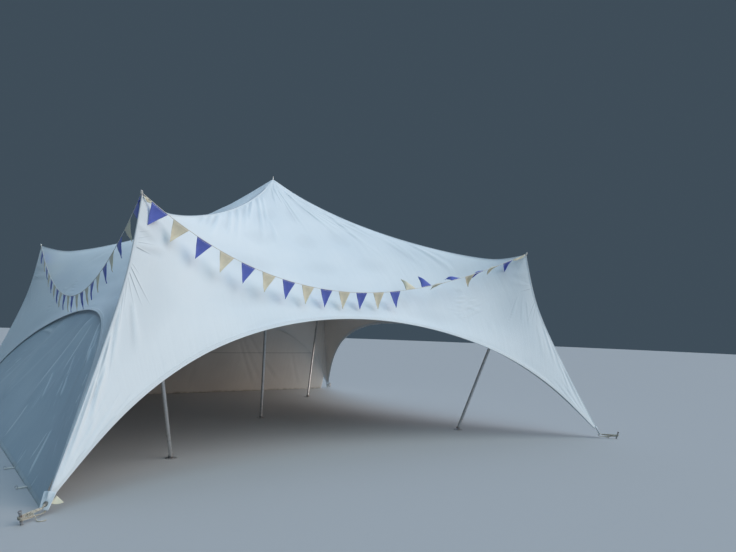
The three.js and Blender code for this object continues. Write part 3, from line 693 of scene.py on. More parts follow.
# Folds seen in the photograph: start and end as column and ring, half width and height in millimetres.
# The last list runs down from the middle peak; the others lie at a corner peak, its ridge and its leg.
PEAK_CREASES = (
    (0.06, 12.69, 1.75, 11.88, 45, 6), (0.00, 12.40, 1.20, 12.00, 50, 6),
)
LEG_FOLDS = (
    (0.75, 13.50, 1.44, 14.85, 30, 10), (0.19, 13.56, 0.69, 14.85, 28, 14),
    (0.06, 13.88, 0.56, 15.30, 30, 18), (0.19, 14.12, 0.31, 15.00, 20, 12),
    (0.06, 14.05, 0.26, 16.20, 26, 22), (0.38, 14.50, 0.40, 15.70, 20, 12),
    (0.30, 14.70, 0.62, 16.20, 22, 12), (0.14, 14.60, 0.16, 16.00, 14, 10),
)
TIP_FOLDS = (
    (1.12, 15.30, 0.31, 16.10, 12, 7), (0.95, 15.55, 0.44, 16.10, 12, 6),
    (1.44, 15.60, 0.38, 16.20, 14, 7), (0.75, 15.10, 0.19, 16.00, 12, 6),
    (1.38, 12.56, 2.19, 13.85, 13, 6), (1.06, 12.69, 1.94, 14.05, 13, 6),
    (0.88, 12.88, 1.62, 14.05, 12, 5),
)
CROSSED_CREASES = (
    (3.88, 11.88, 3.70, 12.95, 18, 8), (3.50, 11.44, 3.60, 13.50, 20, 9),
    (3.62, 12.40, 3.40, 13.30, 16, 8), (3.12, 13.31, 3.06, 14.40, 18, 6),
    (3.38, 10.88, 3.50, 12.20, 20, 7), (3.25, 11.88, 3.19, 13.00, 16, 7),
    (4.19, 12.62, 4.19, 13.94, 20, 6), (4.10, 13.00, 3.30, 12.30, 18, 6),
    (4.00, 13.60, 3.00, 12.60, 20, 6),
)
RIDGE_PLEATS = (
    (0.00, 7.56, 1.70, 9.40, 34, 9), (0.12, 6.94, 2.00, 9.40, 34, 10), (0.31, 6.40, 2.45, 9.80, 42, 18),
    (0.06, 5.06, 2.95, 9.00, 38, 15), (0.12, 4.25, 3.32, 9.20, 36, 14), (0.12, 3.25, 3.01, 7.20, 34, 13),
    (0.12, 2.56, 2.80, 6.10, 36, 19), (0.06, 1.94, 4.30, 7.60, 34, 17), (0.94, 1.75, 4.30, 6.10, 30, 12),
    (3.81, 4.12, 5.10, 7.30, 34, 10),
)
MAST_FAN = (
    (2.12, 0.50, 4.60, 2.60, 18, 7), (2.88, 0.44, 6.10, 2.30, 18, 10), (5.19, 0.31, 7.45, 5.20, 20, 10),
    (4.69, 0.50, 7.00, 4.60, 18, 8), (6.81, 0.50, 10.40, 5.80, 20, 10), (9.25, 0.50, 10.50, 3.40, 16, 8),
    (9.69, 0.60, 10.10, 5.60, 20, 9), (10.06, 0.90, 11.95, 5.90, 20, 9),
    (12.81, 1.00, 13.30, 5.80, 20, 8), (8.00, 0.50, 11.10, 5.40, 16, 7),
    (11.40, 0.90, 12.60, 5.60, 18, 7), (13.80, 1.20, 14.60, 5.40, 20, 8),
)


def fold_rows(rows):
    """Start, end, half width and height of the folds in a table, in metres."""
    return [((a, b), (c, d), width / 1000, height / 1000) for a, b, c, d, width, height in rows]


def gore_folds(side, points, normal, sizes):
    """All folds of one gore, as a height over its smooth shape. The front left ones are as seen."""
    chance = random.Random(31 + side)
    height = np.zeros(sizes[0].shape)
    for end in ("left", "right"):
        seen = side == 0 and end == "left"
        lists = [(PEAK_CREASES, 0.9 if side else 0.5), (LEG_FOLDS, 0.7 if side else 0.35),
                 (RIDGE_PLEATS, 0.4), (TIP_FOLDS, 1.0), (CROSSED_CREASES, 1.0)]
        if seen:
            lists = [(PEAK_CREASES, 1.0), (LEG_FOLDS, 0.85), (RIDGE_PLEATS, 0.55), (TIP_FOLDS[:4], 1.0)]
        for folds, strength in lists:
            for start, stop, width, depth in fold_rows(folds):
                if not seen:
                    stop = (stop[0] * chance.uniform(0.85, 1.15), stop[1] + chance.uniform(-0.25, 0.25))
                    start = (start[0], start[1] + chance.uniform(-0.06, 0.06))
                    depth *= chance.uniform(0.6, 1.1)
                if end == "right":
                    start, stop = ((SPOKES - place[0], place[1]) for place in (start, stop))
                height += fold_height(points, normal, start, stop, width, depth * strength)
    for start, stop, width, depth in fold_rows(MAST_FAN):
        stop = (stop[0] + min(side, 1) * chance.uniform(-0.4, 0.4), stop[1])
        height += fold_height(points, normal, start, stop, width, 0.6 * depth)
    columns, rings = np.meshgrid(column_places, ring_places)
    slack = 0.004 * np.sin(1.3 * columns + 0.9 * rings + side) * np.sin(0.7 * columns - 1.1 * rings)
    to_ridge = np.minimum(columns, SPOKES - columns) * sizes[1]
    to_hem = (EDGE_RING - rings) * sizes[0]
    return (height + slack) * ease(0.022, 0.042, to_ridge) * ease(0.05, 0.14, to_hem)


def soil_group():
    """Mask of dirt that creeps up cloth from the ground, from a place and how high it reaches."""
    group, given, result = new_group("ground_soil", {"Place": "Vector", "Reach": "Float"}, "Dirt")
    low = ramp(group, parts(group, given["Place"])[2], 0, given["Reach"], 1, 0)
    spots = ramp(group, noise(group, given["Place"], 7, 6), 0.38, 0.72)
    group.links.new(reckon(group, "MULTIPLY", low, spots), result)
    return group


def pucker_group():
    """Height of the fine puckers of stretched cloth, drawn out along its pull."""
    group, given, result = new_group("stretch_puckers", {"Place": "Vector", "Across": "Float"}, "Height")
    place = parts(group, given["Place"])
    drawn = put(group, "CombineXYZ", {0: reckon(group, "MULTIPLY", place[0], given["Across"]), 1: place[1]})
    group.links.new(noise(group, drawn.outputs[0], 1.2, 3, 0.55), result)
    return group


SOIL = soil_group()
PUCKERS = pucker_group()
DIRT_COLOUR = (0.20, 0.19, 0.13, 1)
CANOPY_TONES = (0.72, 0.78, 0.82, 1), (0.68, 0.75, 0.80, 1)
THREADS = 900  # to a metre of canopy cloth
# The tone a fold gets is painted highlight on its crest and painted shade in its hollow.
CREASE_FULL = 0.012  # height of a fold at which its tone is fullest


def cloth_material(name, light, dark, reach, sheen=0.12, crest=0.30, valley_shade=0.26):
    """Coated stretch cloth in two tones, with its weave, puckers and some dirt near the ground.

    Painted highlight makes it paler on the crest of a fold, and painted shade makes it greyer in the hollow
    beside the fold."""
    material, tree, surface = bare_material(name, {"Sheen Weight": sheen, "Sheen Roughness": 0.4,
                                                   "Specular IOR Level": 0.35})
    cloth, place = cloth_place(tree), object_place(tree)
    weave = put(tree, "Group", {"Place": cloth, "Threads": THREADS}, node_tree=WEAVE).outputs[0]
    puckers = put(tree, "Group", {"Place": cloth, "Across": 9.0}, node_tree=PUCKERS).outputs[0]
    dirt = put(tree, "Group", {"Place": place, "Reach": reach}, node_tree=SOIL).outputs[0]
    creased = put(tree, "Attribute", attribute_name="crease").outputs["Fac"]
    tone = blend(tree, ramp(tree, noise(tree, place, 0.9, 4), 0.35, 0.65), dark, light)
    # Painted highlight on the crest of each fold and painted shade in the hollow beside it, from the fold's
    # height.
    tone = blend(tree, ramp(tree, creased, 0.1, 1, 0, crest), tone, (0.86, 0.90, 0.93, 1))
    tone = blend(tree, ramp(tree, creased, -0.05, -0.7, 0, valley_shade), tone, (0.30, 0.36, 0.41, 1))
    tone = blend(tree, reckon(tree, "MULTIPLY", dirt, 0.75), tone, DIRT_COLOUR)
    roughness = reckon(tree, "MULTIPLY_ADD", weave, 0.12, 0.62)
    finish_surface(tree, surface, tone, roughness, reckon(tree, "MULTIPLY_ADD", weave, 0.06, puckers), 0.004)
    return material


def finished_parts(material):
    """A finished material's tree, its inputs for colour and for height, and what feeds each of them."""
    surface = next(node for node in material.node_tree.nodes if node.type == "BSDF_PRINCIPLED")
    colour_in = surface.inputs["Base Color"]
    height_in = surface.inputs["Normal"].links[0].from_node.inputs["Height"]
    tone, height = (socket.links[0].from_socket for socket in (colour_in, height_in))
    return material.node_tree, colour_in, height_in, tone, height


canopy_cloth = cloth_material("canopy_cloth", *CANOPY_TONES, 0.25)
canopy_inside = cloth_material("canopy_inside", (0.80, 0.77, 0.73, 1), (0.73, 0.71, 0.68, 1), 0.30, 0.05)


def running_lengths(points):
    """Metres down the columns from the first row, and along the rows from their middle."""
    steps = np.linalg.norm(np.diff(points, axis=0), axis=2)
    down = np.concatenate((np.zeros((1, points.shape[1])), np.cumsum(steps, axis=0)))
    steps = np.linalg.norm(np.diff(points, axis=1), axis=2)
    aside = np.concatenate((np.zeros((points.shape[0], 1)), np.cumsum(steps, axis=1)), axis=1)
    middle = points.shape[1] // 2
    return down, aside - aside[:, middle : middle + 1]


gores = [smooth_gore(side) for side in range(4)]
SHARP_CREASES = (  # start and end as column and ring of the front gore, half width in metres, strength
    ((0.21, 12.68), (1.14, 12.51), 0.009, 0.80), ((0.23, 12.60), (1.19, 12.23), 0.007, 0.42),
    ((0.20, 12.55), (0.92, 12.16), 0.006, 0.28), ((0.21, 12.45), (0.81, 12.11), 0.006, 0.28),
    ((0.12, 12.98), (1.55, 13.59), 0.009, 0.80), ((0.12, 13.06), (1.24, 13.61), 0.009, 0.75),
    ((0.18, 12.93), (0.82, 13.02), 0.007, 0.40), ((0.12, 13.13), (0.92, 13.65), 0.008, 0.40),
    ((0.14, 13.18), (0.47, 13.80), 0.008, 0.35), ((0.12, 13.36), (0.43, 13.97), 0.010, 0.35),
    ((0.14, 14.03), (0.25, 14.57), 0.010, 0.30), ((0.16, 14.17), (0.28, 15.22), 0.011, 0.30),
    ((0.12, 14.43), (0.15, 15.60), 0.009, 0.25), ((0.36, 14.13), (0.63, 14.91), 0.012, 0.16),
)


def crease_group():
    """One straight crease, as a mask for painted shade and painted highlight: 1 on its line, below 0 along
    the lit rim beside it, 0 elsewhere.
    """
    given_names = dict.fromkeys(("Place", "From", "Ahead", "Across"), "Vector")
    group, given, result = new_group("sharp_crease", given_names, "Crease")
    here = put(group, "VectorMath", {0: given["Place"], 1: given["From"]}, operation="SUBTRACT").outputs[0]
    share, aside = (put(group, "VectorMath", {0: here, 1: given[way]},
                        operation="DOT_PRODUCT").outputs["Value"] for way in ("Ahead", "Across"))
    beside = reckon(group, "ABSOLUTE", reckon(group, "ADD", aside, 1.9))
    line = ramp(group, reckon(group, "ABSOLUTE", aside), 0.2, 1.0, 1, 0, interpolation_type="SMOOTHSTEP")
    rim = ramp(group, beside, 0.2, 1.1, 0.5, 0, interpolation_type="SMOOTHSTEP")
    length = reckon(group, "MULTIPLY", ramp(group, share, -0.02, 0.08), ramp(group, share, 0.35, 1.0, 1, 0))
    group.links.new(reckon(group, "MULTIPLY", reckon(group, "SUBTRACT", line, rim), length), result)
    return group


def crease_cloth(material, normal):
    """Sharp creases painted into the canopy's colour: painted shade along each line and a painted highlight
    along its lit rim. Each half gore repeats those seen at the front left leg.
    """
    tree, colour_in, _, tone, _ = finished_parts(material)
    place = parts(tree, object_place(tree))
    level = [reckon(tree, "ABSOLUTE", place[axis]) for axis in range(2)]
    near, far = (reckon(tree, "MULTIPLY", reckon(tree, which, *level), -1.0)
                 for which in ("MINIMUM", "MAXIMUM"))
    mirrored = put(tree, "CombineXYZ", {0: near, 1: far, 2: place[2]}).outputs[0]
    painted_crease_shading = 0.0
    for start, stop, width, strength in SHARP_CREASES:
        first, last = on_grid(gores[0], start), on_grid(gores[0], stop)
        run = last - first
        across = np.cross(run, on_grid(normal, np.add(start, stop) / 2))
        across /= np.linalg.norm(across) * width
        one = put(tree, "Group", {"Place": mirrored, "From": first.tolist(), "Across": across.tolist(),
                                  "Ahead": (run / (run @ run)).tolist()}, node_tree=CREASE).outputs[0]
        painted_crease_shading = reckon(tree, "MULTIPLY_ADD", one, strength, painted_crease_shading)
    right = ramp(tree, place[0], -0.5, 0.5, 1, 0.45)
    past = ramp(tree, reckon(tree, "SUBTRACT", place[1], place[0]), -0.05, 0.05, 1, 0.5)
    painted_crease_shading = reckon(tree, "MULTIPLY", painted_crease_shading, reckon(tree, "MULTIPLY", right, past))
    # Painted shade along the crease lines, then a painted highlight along their lit rims.
    tone = blend(tree, ramp(tree, painted_crease_shading, 0, 1), tone, (0.25, 0.30, 0.35, 1))
    tree.links.new(blend(tree, ramp(tree, painted_crease_shading, 0, -1), tone, (0.90, 0.94, 0.96, 1)), colour_in)


def cut_before_tip(bm, corner):
    """Cuts cloth off a little before the tip of a leg."""
    tip, away = leg_axes[corner]
    bmesh.ops.bisect_plane(bm, geom=bm.verts[:] + bm.edges[:] + bm.faces[:], dist=1e-5,
                           plane_co=tip - away * LEG_CUT, plane_no=away, clear_outer=True)


CREASE = crease_group()
crease_cloth(canopy_cloth, outward(gores[0])[0])
leg_axes = []
for corner in range(4):
    tip = NET[RINGS, corner * SPOKES]
    away = Vector(tip - NET[RINGS - 1, corner * SPOKES]).normalized()
    leg_axes.append((Vector(tip), away))
for side, name in enumerate(SIDES):
    normal, *sizes = outward(gores[side])
    height = gore_folds(side, gores[side], normal, sizes)
    points = gores[side] + normal * height[:, :, None]
    down, aside = running_lengths(gores[side])
    gore = laid_mesh(f"canopy_gore_{name}", points[::-1], down[::-1], aside[::-1], canopy_cloth,
                     canopy_inside, crease=np.clip(height / CREASE_FULL, -1, 1)[::-1])
    bm = bmesh.new()
    bm.from_mesh(gore.data)
    for corner in (side, (side + 1) % 4):
        cut_before_tip(bm, corner)
    bm.to_mesh(gore.data)
    bm.free()
    thicken(gore, CLOTH_THICK, -1).material_offset = 1
    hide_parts(f"canopy_{name}")

# Arch hems
# The edge of each arch is turned over a rope and sewn down with two rows, which makes a lighter,
# thicker border that stands a little over the cloth.
THREAD_COLOUR = (0.62, 0.67, 0.70, 1)
HEM_ROWS = 0.024, 0.052  # metres of its rows of stitches from the edge
HEM_PROFILE = (  # metres in from the edge, and over the cloth, going round
    (0.0000, -0.0030), (0.0012, 0.0010), (0.0050, 0.0036), (0.0110, 0.0034), (0.0180, 0.0022),
    (0.0380, 0.0020), (0.0570, 0.0018), (0.0590, 0.0008), (0.0590, -0.0050), (0.0570, -0.0062),
    (0.0380, -0.0062), (0.0200, -0.0066), (0.0120, -0.0092), (0.0060, -0.0096), (0.0012, -0.0072),
    (0.0000, -0.0030),
)


def hem_material():
    """White border cloth with two rows of stitches."""
    material = cloth_material("hem_cloth", (0.70, 0.75, 0.78, 1), (0.65, 0.71, 0.75, 1), 0.25)
    tree, colour_in, height_in, tone, height = finished_parts(material)
    across, along, _ = parts(tree, cloth_place(tree))
    for row in HEM_ROWS:
        sewn = stitches(tree, along, across, row)
        tone = blend(tree, sewn, tone, THREAD_COLOUR)
        height = reckon(tree, "SUBTRACT", height, reckon(tree, "MULTIPLY", sewn, 0.25))
    tree.links.new(tone, colour_in)
    tree.links.new(height, height_in)
    return material


def capped(piece, cut=True):
    """Closes the open ends of a tube-like piece, which may first be cut short of the leg tips."""
    bm = bmesh.new()
    bm.from_mesh(piece.data)
    for corner in range(4) if cut else ():
        cut_before_tip(bm, corner)
    bmesh.ops.holes_fill(bm, edges=[edge for edge in bm.edges if edge.is_boundary], sides=0)
    bmesh.ops.recalc_face_normals(bm, faces=bm.faces)
    bm.to_mesh(piece.data)
    bm.free()


def hem_frame(points):
    """Edge points of a gore, and the directions along the edge, into the cloth and out of it."""
    edge = points[-1]
    along = unit(np.gradient(edge, column_places, axis=0))
    into = points[np.searchsorted(ring_places, EDGE_RING - 1)] - edge
    into -= (into * along).sum(axis=1, keepdims=True) * along
    for end, beside in ((0, 4), (-1, -5)):
        into[end] = into[beside]
    into = unit(into)
    return edge, into, np.cross(along, into)


def run_along(line):
    """Metres from the start of a line to each of its points."""
    return np.concatenate(([0], np.cumsum(np.linalg.norm(np.diff(line, axis=0), axis=1))))


hem_cloth = hem_material()
for side, name in enumerate(SIDES):
    edge, into, over = hem_frame(gores[side])
    over *= np.sign((over * outward(gores[side])[0][-1]).sum(axis=1, keepdims=True))
    rows = np.stack([edge + into * a + over * b for a, b in HEM_PROFILE], axis=1)
    across, along = np.meshgrid([a for a, _ in HEM_PROFILE], run_along(edge))
    hem = laid_mesh(f"arch_border_{name}", rows, along, across, hem_cloth, joined=True)
    capped(hem)
    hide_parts(f"arch_hem_{name}")

# Seam bands
# A tape is sewn over each diagonal seam, from the eye of the middle peak over the corner peak and
# down the leg. It bends over the ridge and lies flat on both gores.
BAND_HALF = 0.032
BAND_START = np.searchsorted(ring_places, 0.75)  # row of the gore where a band starts
BAND_SECTION = (-1.0, -0.94, -0.5, -0.12, 0.0, 0.12, 0.5, 0.94, 1.0)


def beside_ridge(side, end):
    """Points of a gore at the band's half width from its ridge, with the cloth's normal there."""
    points = gores[side] if end == "left" else gores[side][:, ::-1]
    normal = outward(gores[side])[0] if end == "left" else outward(gores[side])[0][:, ::-1]
    run = points[:, 1:24] - points[:, :1]
    reach = np.linalg.norm(run, axis=2)
    nearest = np.abs(reach - BAND_HALF).argmin(axis=1)
    rows = np.arange(len(points))
    share = BAND_HALF / reach[rows, nearest]
    wing = points[:, 0] + run[rows, nearest] * share[:, None]
    return wing, normal[rows, nearest + 1]


def band_points(corner):
    """Rows of points round a band: over its top from wing to wing, and back underneath."""
    ridge = gores[corner][:, 0]
    left_wing, left_over = beside_ridge((corner - 1) % 4, "right")
    right_wing, right_over = beside_ridge(corner, "left")
    loop = []
    for share, top in [(s, True) for s in BAND_SECTION] + [(s, False) for s in BAND_SECTION[::-1]]:
        wing, over = (left_wing, left_over) if share < 0 else (right_wing, right_over)
        if share == 0:
            over = left_over + right_over
            over /= np.maximum(np.linalg.norm(over, axis=1, keepdims=True), 0.5)
        edge = 0.0008 if abs(share) == 1 else 0.0028
        height = edge + 0.0016 * (1 - abs(share)) ** 4 if top else -0.0008
        loop.append(ridge + (wing - ridge) * abs(share) + over * height)
    loop.append(loop[0])
    return np.stack(loop, axis=1)[BAND_START:]


def band_material():
    """Canopy cloth with the worn, greyer line of the seam along its middle and a row of stitches.

    Down the legs that line fades, and painted shade darkens the cloth beside it instead, standing in for the
    shading of the rounded ridge."""
    material = cloth_material("band_cloth", *CANOPY_TONES, 0.25)
    tree, colour_in, _, tone, _ = finished_parts(material)
    across, along, _ = parts(tree, cloth_place(tree))
    high = parts(tree, object_place(tree))[2]
    seam, worn = ramp(tree, across, 0.009, 0.013, 1, 0), ramp(tree, high, 1.0, 2.3, 0.15, 0.8)
    tone = blend(tree, reckon(tree, "MULTIPLY", seam, worn), tone, (0.27, 0.33, 0.38, 1))
    tone = blend(tree, stitches(tree, along, across, 0.026), tone, THREAD_COLOUR)
    # Painted shade on the cloth beside the seam down the legs, for the shading of the rounded ridge.
    rounded, low = ramp(tree, across, 0, 0.045, 0.45, 0), ramp(tree, high, 1.0, 2.6, 1, 0.3)
    tone = blend(tree, reckon(tree, "MULTIPLY", rounded, low), tone, (0.38, 0.46, 0.52, 1))
    tree.links.new(tone, colour_in)
    return material


band_cloth = band_material()
for corner, name in enumerate(CORNERS):
    rows = band_points(corner)
    shares = BAND_SECTION + BAND_SECTION[::-1] + BAND_SECTION[:1]
    ridge_run = run_along(rows[:, len(BAND_SECTION) // 2])
    across, along = np.meshgrid([BAND_HALF * abs(share) for share in shares], ridge_run)
    band = laid_mesh(f"seam_tape_{name}", rows, along, across, band_cloth, joined=True)
    capped(band)
    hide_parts(f"seam_band_{name}")

# The turned cloth of the front hem ends in a loose, cream tail beside the near leg.
TAIL_FROM, TAIL_TO = 0.085, 0.17  # metres from the leg's tip where the tail leaves the hem
TAIL_UNDER = (0.003, -0.004, -0.012)
TAIL_OUT = 0.105
TAIL_WAY = (0.82, -0.50, -0.26)
TAIL_TAPER = 0.93  # share of its width that it loses
TAIL_CURL = 0.012
TAIL_STEPS = np.linspace(0, 1, 9)
run = unit(NET[RINGS, 1] - NET[RINGS, 0])
roots = [NET[RINGS, 0] + run * reach + TAIL_UNDER for reach in (TAIL_FROM, TAIL_TO)]
point = (roots[0] + roots[1]) / 2 + np.multiply(TAIL_WAY, TAIL_OUT)
rows = np.zeros((len(TAIL_STEPS), len(TAIL_STEPS), 3))
for i, share in enumerate(TAIL_STEPS):
    for j, part in enumerate(TAIL_STEPS):
        root = roots[0] * (1 - part) + roots[1] * part
        rows[i, j] = root * (1 - TAIL_TAPER * share) + point * TAIL_TAPER * share
        rows[i, j, 2] -= TAIL_CURL * math.sin(math.pi * share) * (1 - part)
tail_cloth = cloth_material("tail_cloth", (0.82, 0.77, 0.60, 1), (0.74, 0.70, 0.54, 1), 0.05, 0.05)
tail = laid_mesh("hem_tail_front_left", rows, *running_lengths(rows), tail_cloth)
thicken(tail, FLAG_THICK, 0)

# Side walls
# The left and back arches are closed by a hanging wall of the same cloth, clipped up behind the
# hem and pegged to the ground. It hangs in long folds from where it is gathered under the arch.
WALL_LINE = 4.5  # from the middle of the tent to the foot of a wall
WALL_HALF = 4.26
WALL_TUCK = 0.085
WALL_DROP = 0.032
WALL_ROWS = 129
WALL_FOLDS = {  # where a fold starts and ends, along the wall and up it; half width, height in millimetres
    "left": (
        (-0.54, 1.87, -0.57, 0.59, 22, 18),
        (-0.81, 1.77, -1.40, 0.97, 18, 14), (-1.36, 1.78, -2.46, 1.17, 18, 20),
        (-1.71, 1.67, -2.60, 1.23, 18, 16), (-0.81, 1.01, -1.30, 0.66, 18, 16),
        (-1.85, 1.04, -2.25, 0.80, 18, 17), (-2.97, 1.16, -3.13, 1.00, 18, 12),
        (-2.94, 0.53, -3.22, 0.04, 18, 20), (-2.83, 0.50, -2.83, 0.14, 18, 14),
        (2.17, 1.57, 1.50, 1.54, 30, 10), (-3.29, 0.97, -3.34, 0.84, 18, 11),
        (-1.78, 0.98, -2.02, 0.77, 18, 12), (-1.33, 1.29, -1.88, 0.99, 18, 12),
        (-0.78, 0.56, -0.75, 0.08, 30, 16), (-2.36, 0.21, -2.40, 0.01, 18, 11),
        (-3.57, 0.16, -3.53, 0.01, 18, 9),
        (0.30, 1.70, 1.50, 0.30, 60, 4), (1.60, 1.40, 2.90, 0.25, 60, 4),
        (2.30, 1.10, 3.30, 0.10, 50, 4),
    ),
    "back": (
        (1.05, 1.70, 2.30, 0.08, 40, 6), (0.95, 1.72, 2.00, 0.10, 36, 8),
        (1.25, 1.66, 2.75, 0.20, 40, 7), (0.20, 1.80, 0.10, 0.10, 55, 6),
        (-0.90, 1.75, -1.60, 0.15, 50, 7), (-1.10, 1.72, -2.40, 0.12, 46, 7),
        (-2.20, 1.20, -3.20, 0.10, 44, 6), (2.90, 1.05, 3.45, 0.06, 40, 6),
    ),
}
BROAD_FOLDS = {
    "left": ((-0.54, 1.87, -0.65, 0.40, 220, 40), (-2.20, 1.48, -3.05, 0.72, 120, 22),
             (1.20, 1.80, 1.60, 0.30, 250, 30)),
    "back": ((0.50, 1.90, 0.60, 0.30, 250, 25), (-1.80, 1.60, -2.20, 0.20, 200, 20)),
}
WALL_DETAIL = {"left": (0.45, 3.70, 0.0155), "back": (-3.60, 3.60, 0.045)}  # close columns: from, to, apart
WALL_COARSE = 0.06  # between the other columns
STREAK_TOP = (-0.30, 2.25)  # the streaks of the left wall spread from this place, along it and up
STREAK_COUNT = 70.0  # to a radian
# Dark streaks are painted shade and pale streaks painted highlight along the wall's fine folds.
STREAK_SHADE_AND_HIGHLIGHT = (  # noise where a tone starts and is full, its share and its colour
    (0.42, 0.30, 0.40, (0.27, 0.36, 0.42, 1)), (0.58, 0.72, 0.60, (0.76, 0.84, 0.90, 1)),
)
PANEL_SEAM = 1.07  # height of the level seam between the two widths of wall cloth
PEG_PLACES = (-3.43, -2.43, -0.9, 0.9, 2.43, 3.43)


def wall_frame(side):
    """Level directions out of a wall's face and along it."""
    out = (diagonal(side) + diagonal((side + 1) % 4)).normalized()
    return np.array(out), np.array((-out.y, out.x, 0))


def wall_points(side):
    """Smooth points of a wall, from the ground up to its tucked top edge."""
    out, along = wall_frame(side)
    edge, into, _ = hem_frame(gores[side])
    over = outward(gores[side])[0][-1]
    behind = np.minimum(ease(0, 1, column_places), 1 - ease(SPOKES - 1, SPOKES, column_places))[:, None]
    rim = edge + (into * WALL_TUCK - over * WALL_DROP) * behind
    used = (column_places > 0.5) & (column_places < SPOKES - 0.5)
    rim = rim[used]
    reach = rim @ along
    low, high, step = WALL_DETAIL[SIDES[side]]
    fine = np.concatenate((np.arange(-4.4, low, WALL_COARSE), np.arange(low, high, step),
                           np.arange(high, 4.4, WALL_COARSE)))
    order = np.argsort(reach)
    fine = fine[(fine > reach.min() + 0.01) & (fine < reach.max() - 0.01)]
    fine = np.concatenate(([reach.min()], fine, [reach.max()]))
    if reach[0] > reach[-1]:
        fine = fine[::-1]
    rim = np.stack([np.interp(fine, reach[order], rim[order, axis]) for axis in range(3)], axis=1)
    first = abs(rim[0] @ along)
    foot = out * WALL_LINE + (rim @ along / first * WALL_HALF)[:, None] * along
    shares = np.linspace(0, 1, WALL_ROWS)[:, None, None]
    return foot * (1 - shares) + rim * shares


def wall_fold(places, start, end, width, height):
    """Height of one wall fold over a grid of places along and up the wall."""
    run = np.subtract(end, start)
    long = np.hypot(*run)
    here = places - start
    share = (here @ run) / long ** 2
    bow = 0.02 * np.sin(math.pi * np.clip(share, 0, 1))
    aside = (here[..., 0] * run[1] - here[..., 1] * run[0]) / long - bow
    wide = width * (0.6 + 0.9 * np.clip(share, 0, 1))
    taper = ease(-0.03, 0.12, share) * (1 - ease(0.70, 1.05, share))
    crest = np.exp(-(aside / wide) ** 2) - 0.5 * np.exp(-((aside + 1.6 * wide) / wide) ** 2)
    return height * taper * crest


def streaked_wall():
    """Cloth of the left wall, darker and bluer than the back wall as painted shade: fine streaks of painted
    shade and painted highlight spread from where it is gathered, over a paler foot hem.
    """
    # A darker, bluer tone than the back wall, as painted shade on the same cloth, with a strong painted
    # highlight on fold crests.
    material = cloth_material("wall_cloth_left_painted_shade", (0.46, 0.55, 0.61, 1), (0.41, 0.50, 0.57, 1),
                              0.06, 0.10, 0.60)
    tree, colour_in, _, tone, _ = finished_parts(material)
    place = object_place(tree)
    _, along, high = parts(tree, place)
    aside = reckon(tree, "SUBTRACT", along, STREAK_TOP[0])
    below = reckon(tree, "SUBTRACT", STREAK_TOP[1], high)
    turn = reckon(tree, "MULTIPLY", reckon(tree, "ARCTAN2", aside, below), STREAK_COUNT)
    reach = put(tree, "VectorMath", {0: put(tree, "CombineXYZ", {0: aside, 1: below}).outputs[0]},
                operation="LENGTH").outputs["Value"]
    drawn = put(tree, "CombineXYZ", {0: turn, 1: reckon(tree, "MULTIPLY", reach, 1.9)}).outputs[0]
    fine = noise(tree, drawn, 1, 2, 0.6)
    bunch = ramp(tree, noise(tree, place, 1.6), 0.42, 0.60)
    for start, full, most, colour in STREAK_SHADE_AND_HIGHLIGHT:
        mask = reckon(tree, "MULTIPLY", ramp(tree, fine, start, full, 0, most), bunch)
        tone = blend(tree, mask, tone, colour)
    foot = ramp(tree, high, 0.035, 0.050, 0.25, 0)
    tree.links.new(blend(tree, foot, tone, (0.74, 0.78, 0.78, 1)), colour_in)
    return material


def seamed_wall():
    """Cloth of the back wall, with the level seam of its two widths."""
    material = cloth_material("wall_cloth_back", (0.70, 0.69, 0.66, 1), (0.64, 0.63, 0.61, 1),
                              0.06, 0.10, 0.05, 0.10)
    tree, colour_in, height_in, tone, height = finished_parts(material)
    high = parts(tree, object_place(tree))[2]
    aside = reckon(tree, "ABSOLUTE", reckon(tree, "SUBTRACT", high, PANEL_SEAM))
    seam = ramp(tree, aside, 0.010, 0.014, 1, 0)
    tone = blend(tree, reckon(tree, "MULTIPLY", seam, 0.45), tone, (0.30, 0.31, 0.31, 1))
    tree.links.new(tone, colour_in)
    tree.links.new(reckon(tree, "MULTIPLY_ADD", seam, 0.3, height), height_in)
    return material


wall_cloths = {"left": streaked_wall(), "back": seamed_wall()}
for side in (2, 3):
    name = SIDES[side]
    out, along = wall_frame(side)
    points = wall_points(side)
    down, aside = running_lengths(points)
    places = points[..., (1, 2) if name == "left" else (0, 2)]
    height = sum(wall_fold(places, *fold) for fold in fold_rows(WALL_FOLDS[name]))
    broad = sum(wall_fold(places, *fold) for fold in fold_rows(BROAD_FOLDS[name]))
    rows = np.linspace(0, 1, WALL_ROWS)[:, None]
    slack = 0.012 * np.sin(2.1 * places[..., 0] + 1.4 * places[..., 1] + side) * np.sin(math.pi * rows)
    held = ease(0, 0.05, rows) * (1 - ease(0.93, 1.0, rows))
    points = points + ((height + broad) * np.maximum(held, 0.15) + slack)[..., None] * out
    wall = laid_mesh(f"wall_sheet_{name}", points, down, aside, wall_cloths[name],
                     crease=np.clip(height / CREASE_FULL, -1, 1))
    thicken(wall, CLOTH_THICK, -1)
    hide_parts(f"side_wall_{name}")

# Corner patches
# At the tip of each leg a doubled patch with a brass eyelet takes the pull of the lashing.
PATCH_LONG = 0.169
PATCH_LOW = 0.046  # half widths at the tip and at the top of the patch
PATCH_HIGH = 0.064
PATCH_THICK = 0.007
EYELET_IN = 0.055
EYELET_R = 0.018


def leg_place(corner, back, aside=0.0, off=0.0):
    """A point measured from a leg's tip: back up the leg, sideways, and out of its face."""
    tip, away = leg_axes[corner]
    sideways = Vector((-diagonal(corner).y, diagonal(corner).x, 0))
    face = away.cross(sideways)
    if face.z < 0:
        face.negate()
    return tip - away * back + sideways * aside + face * off


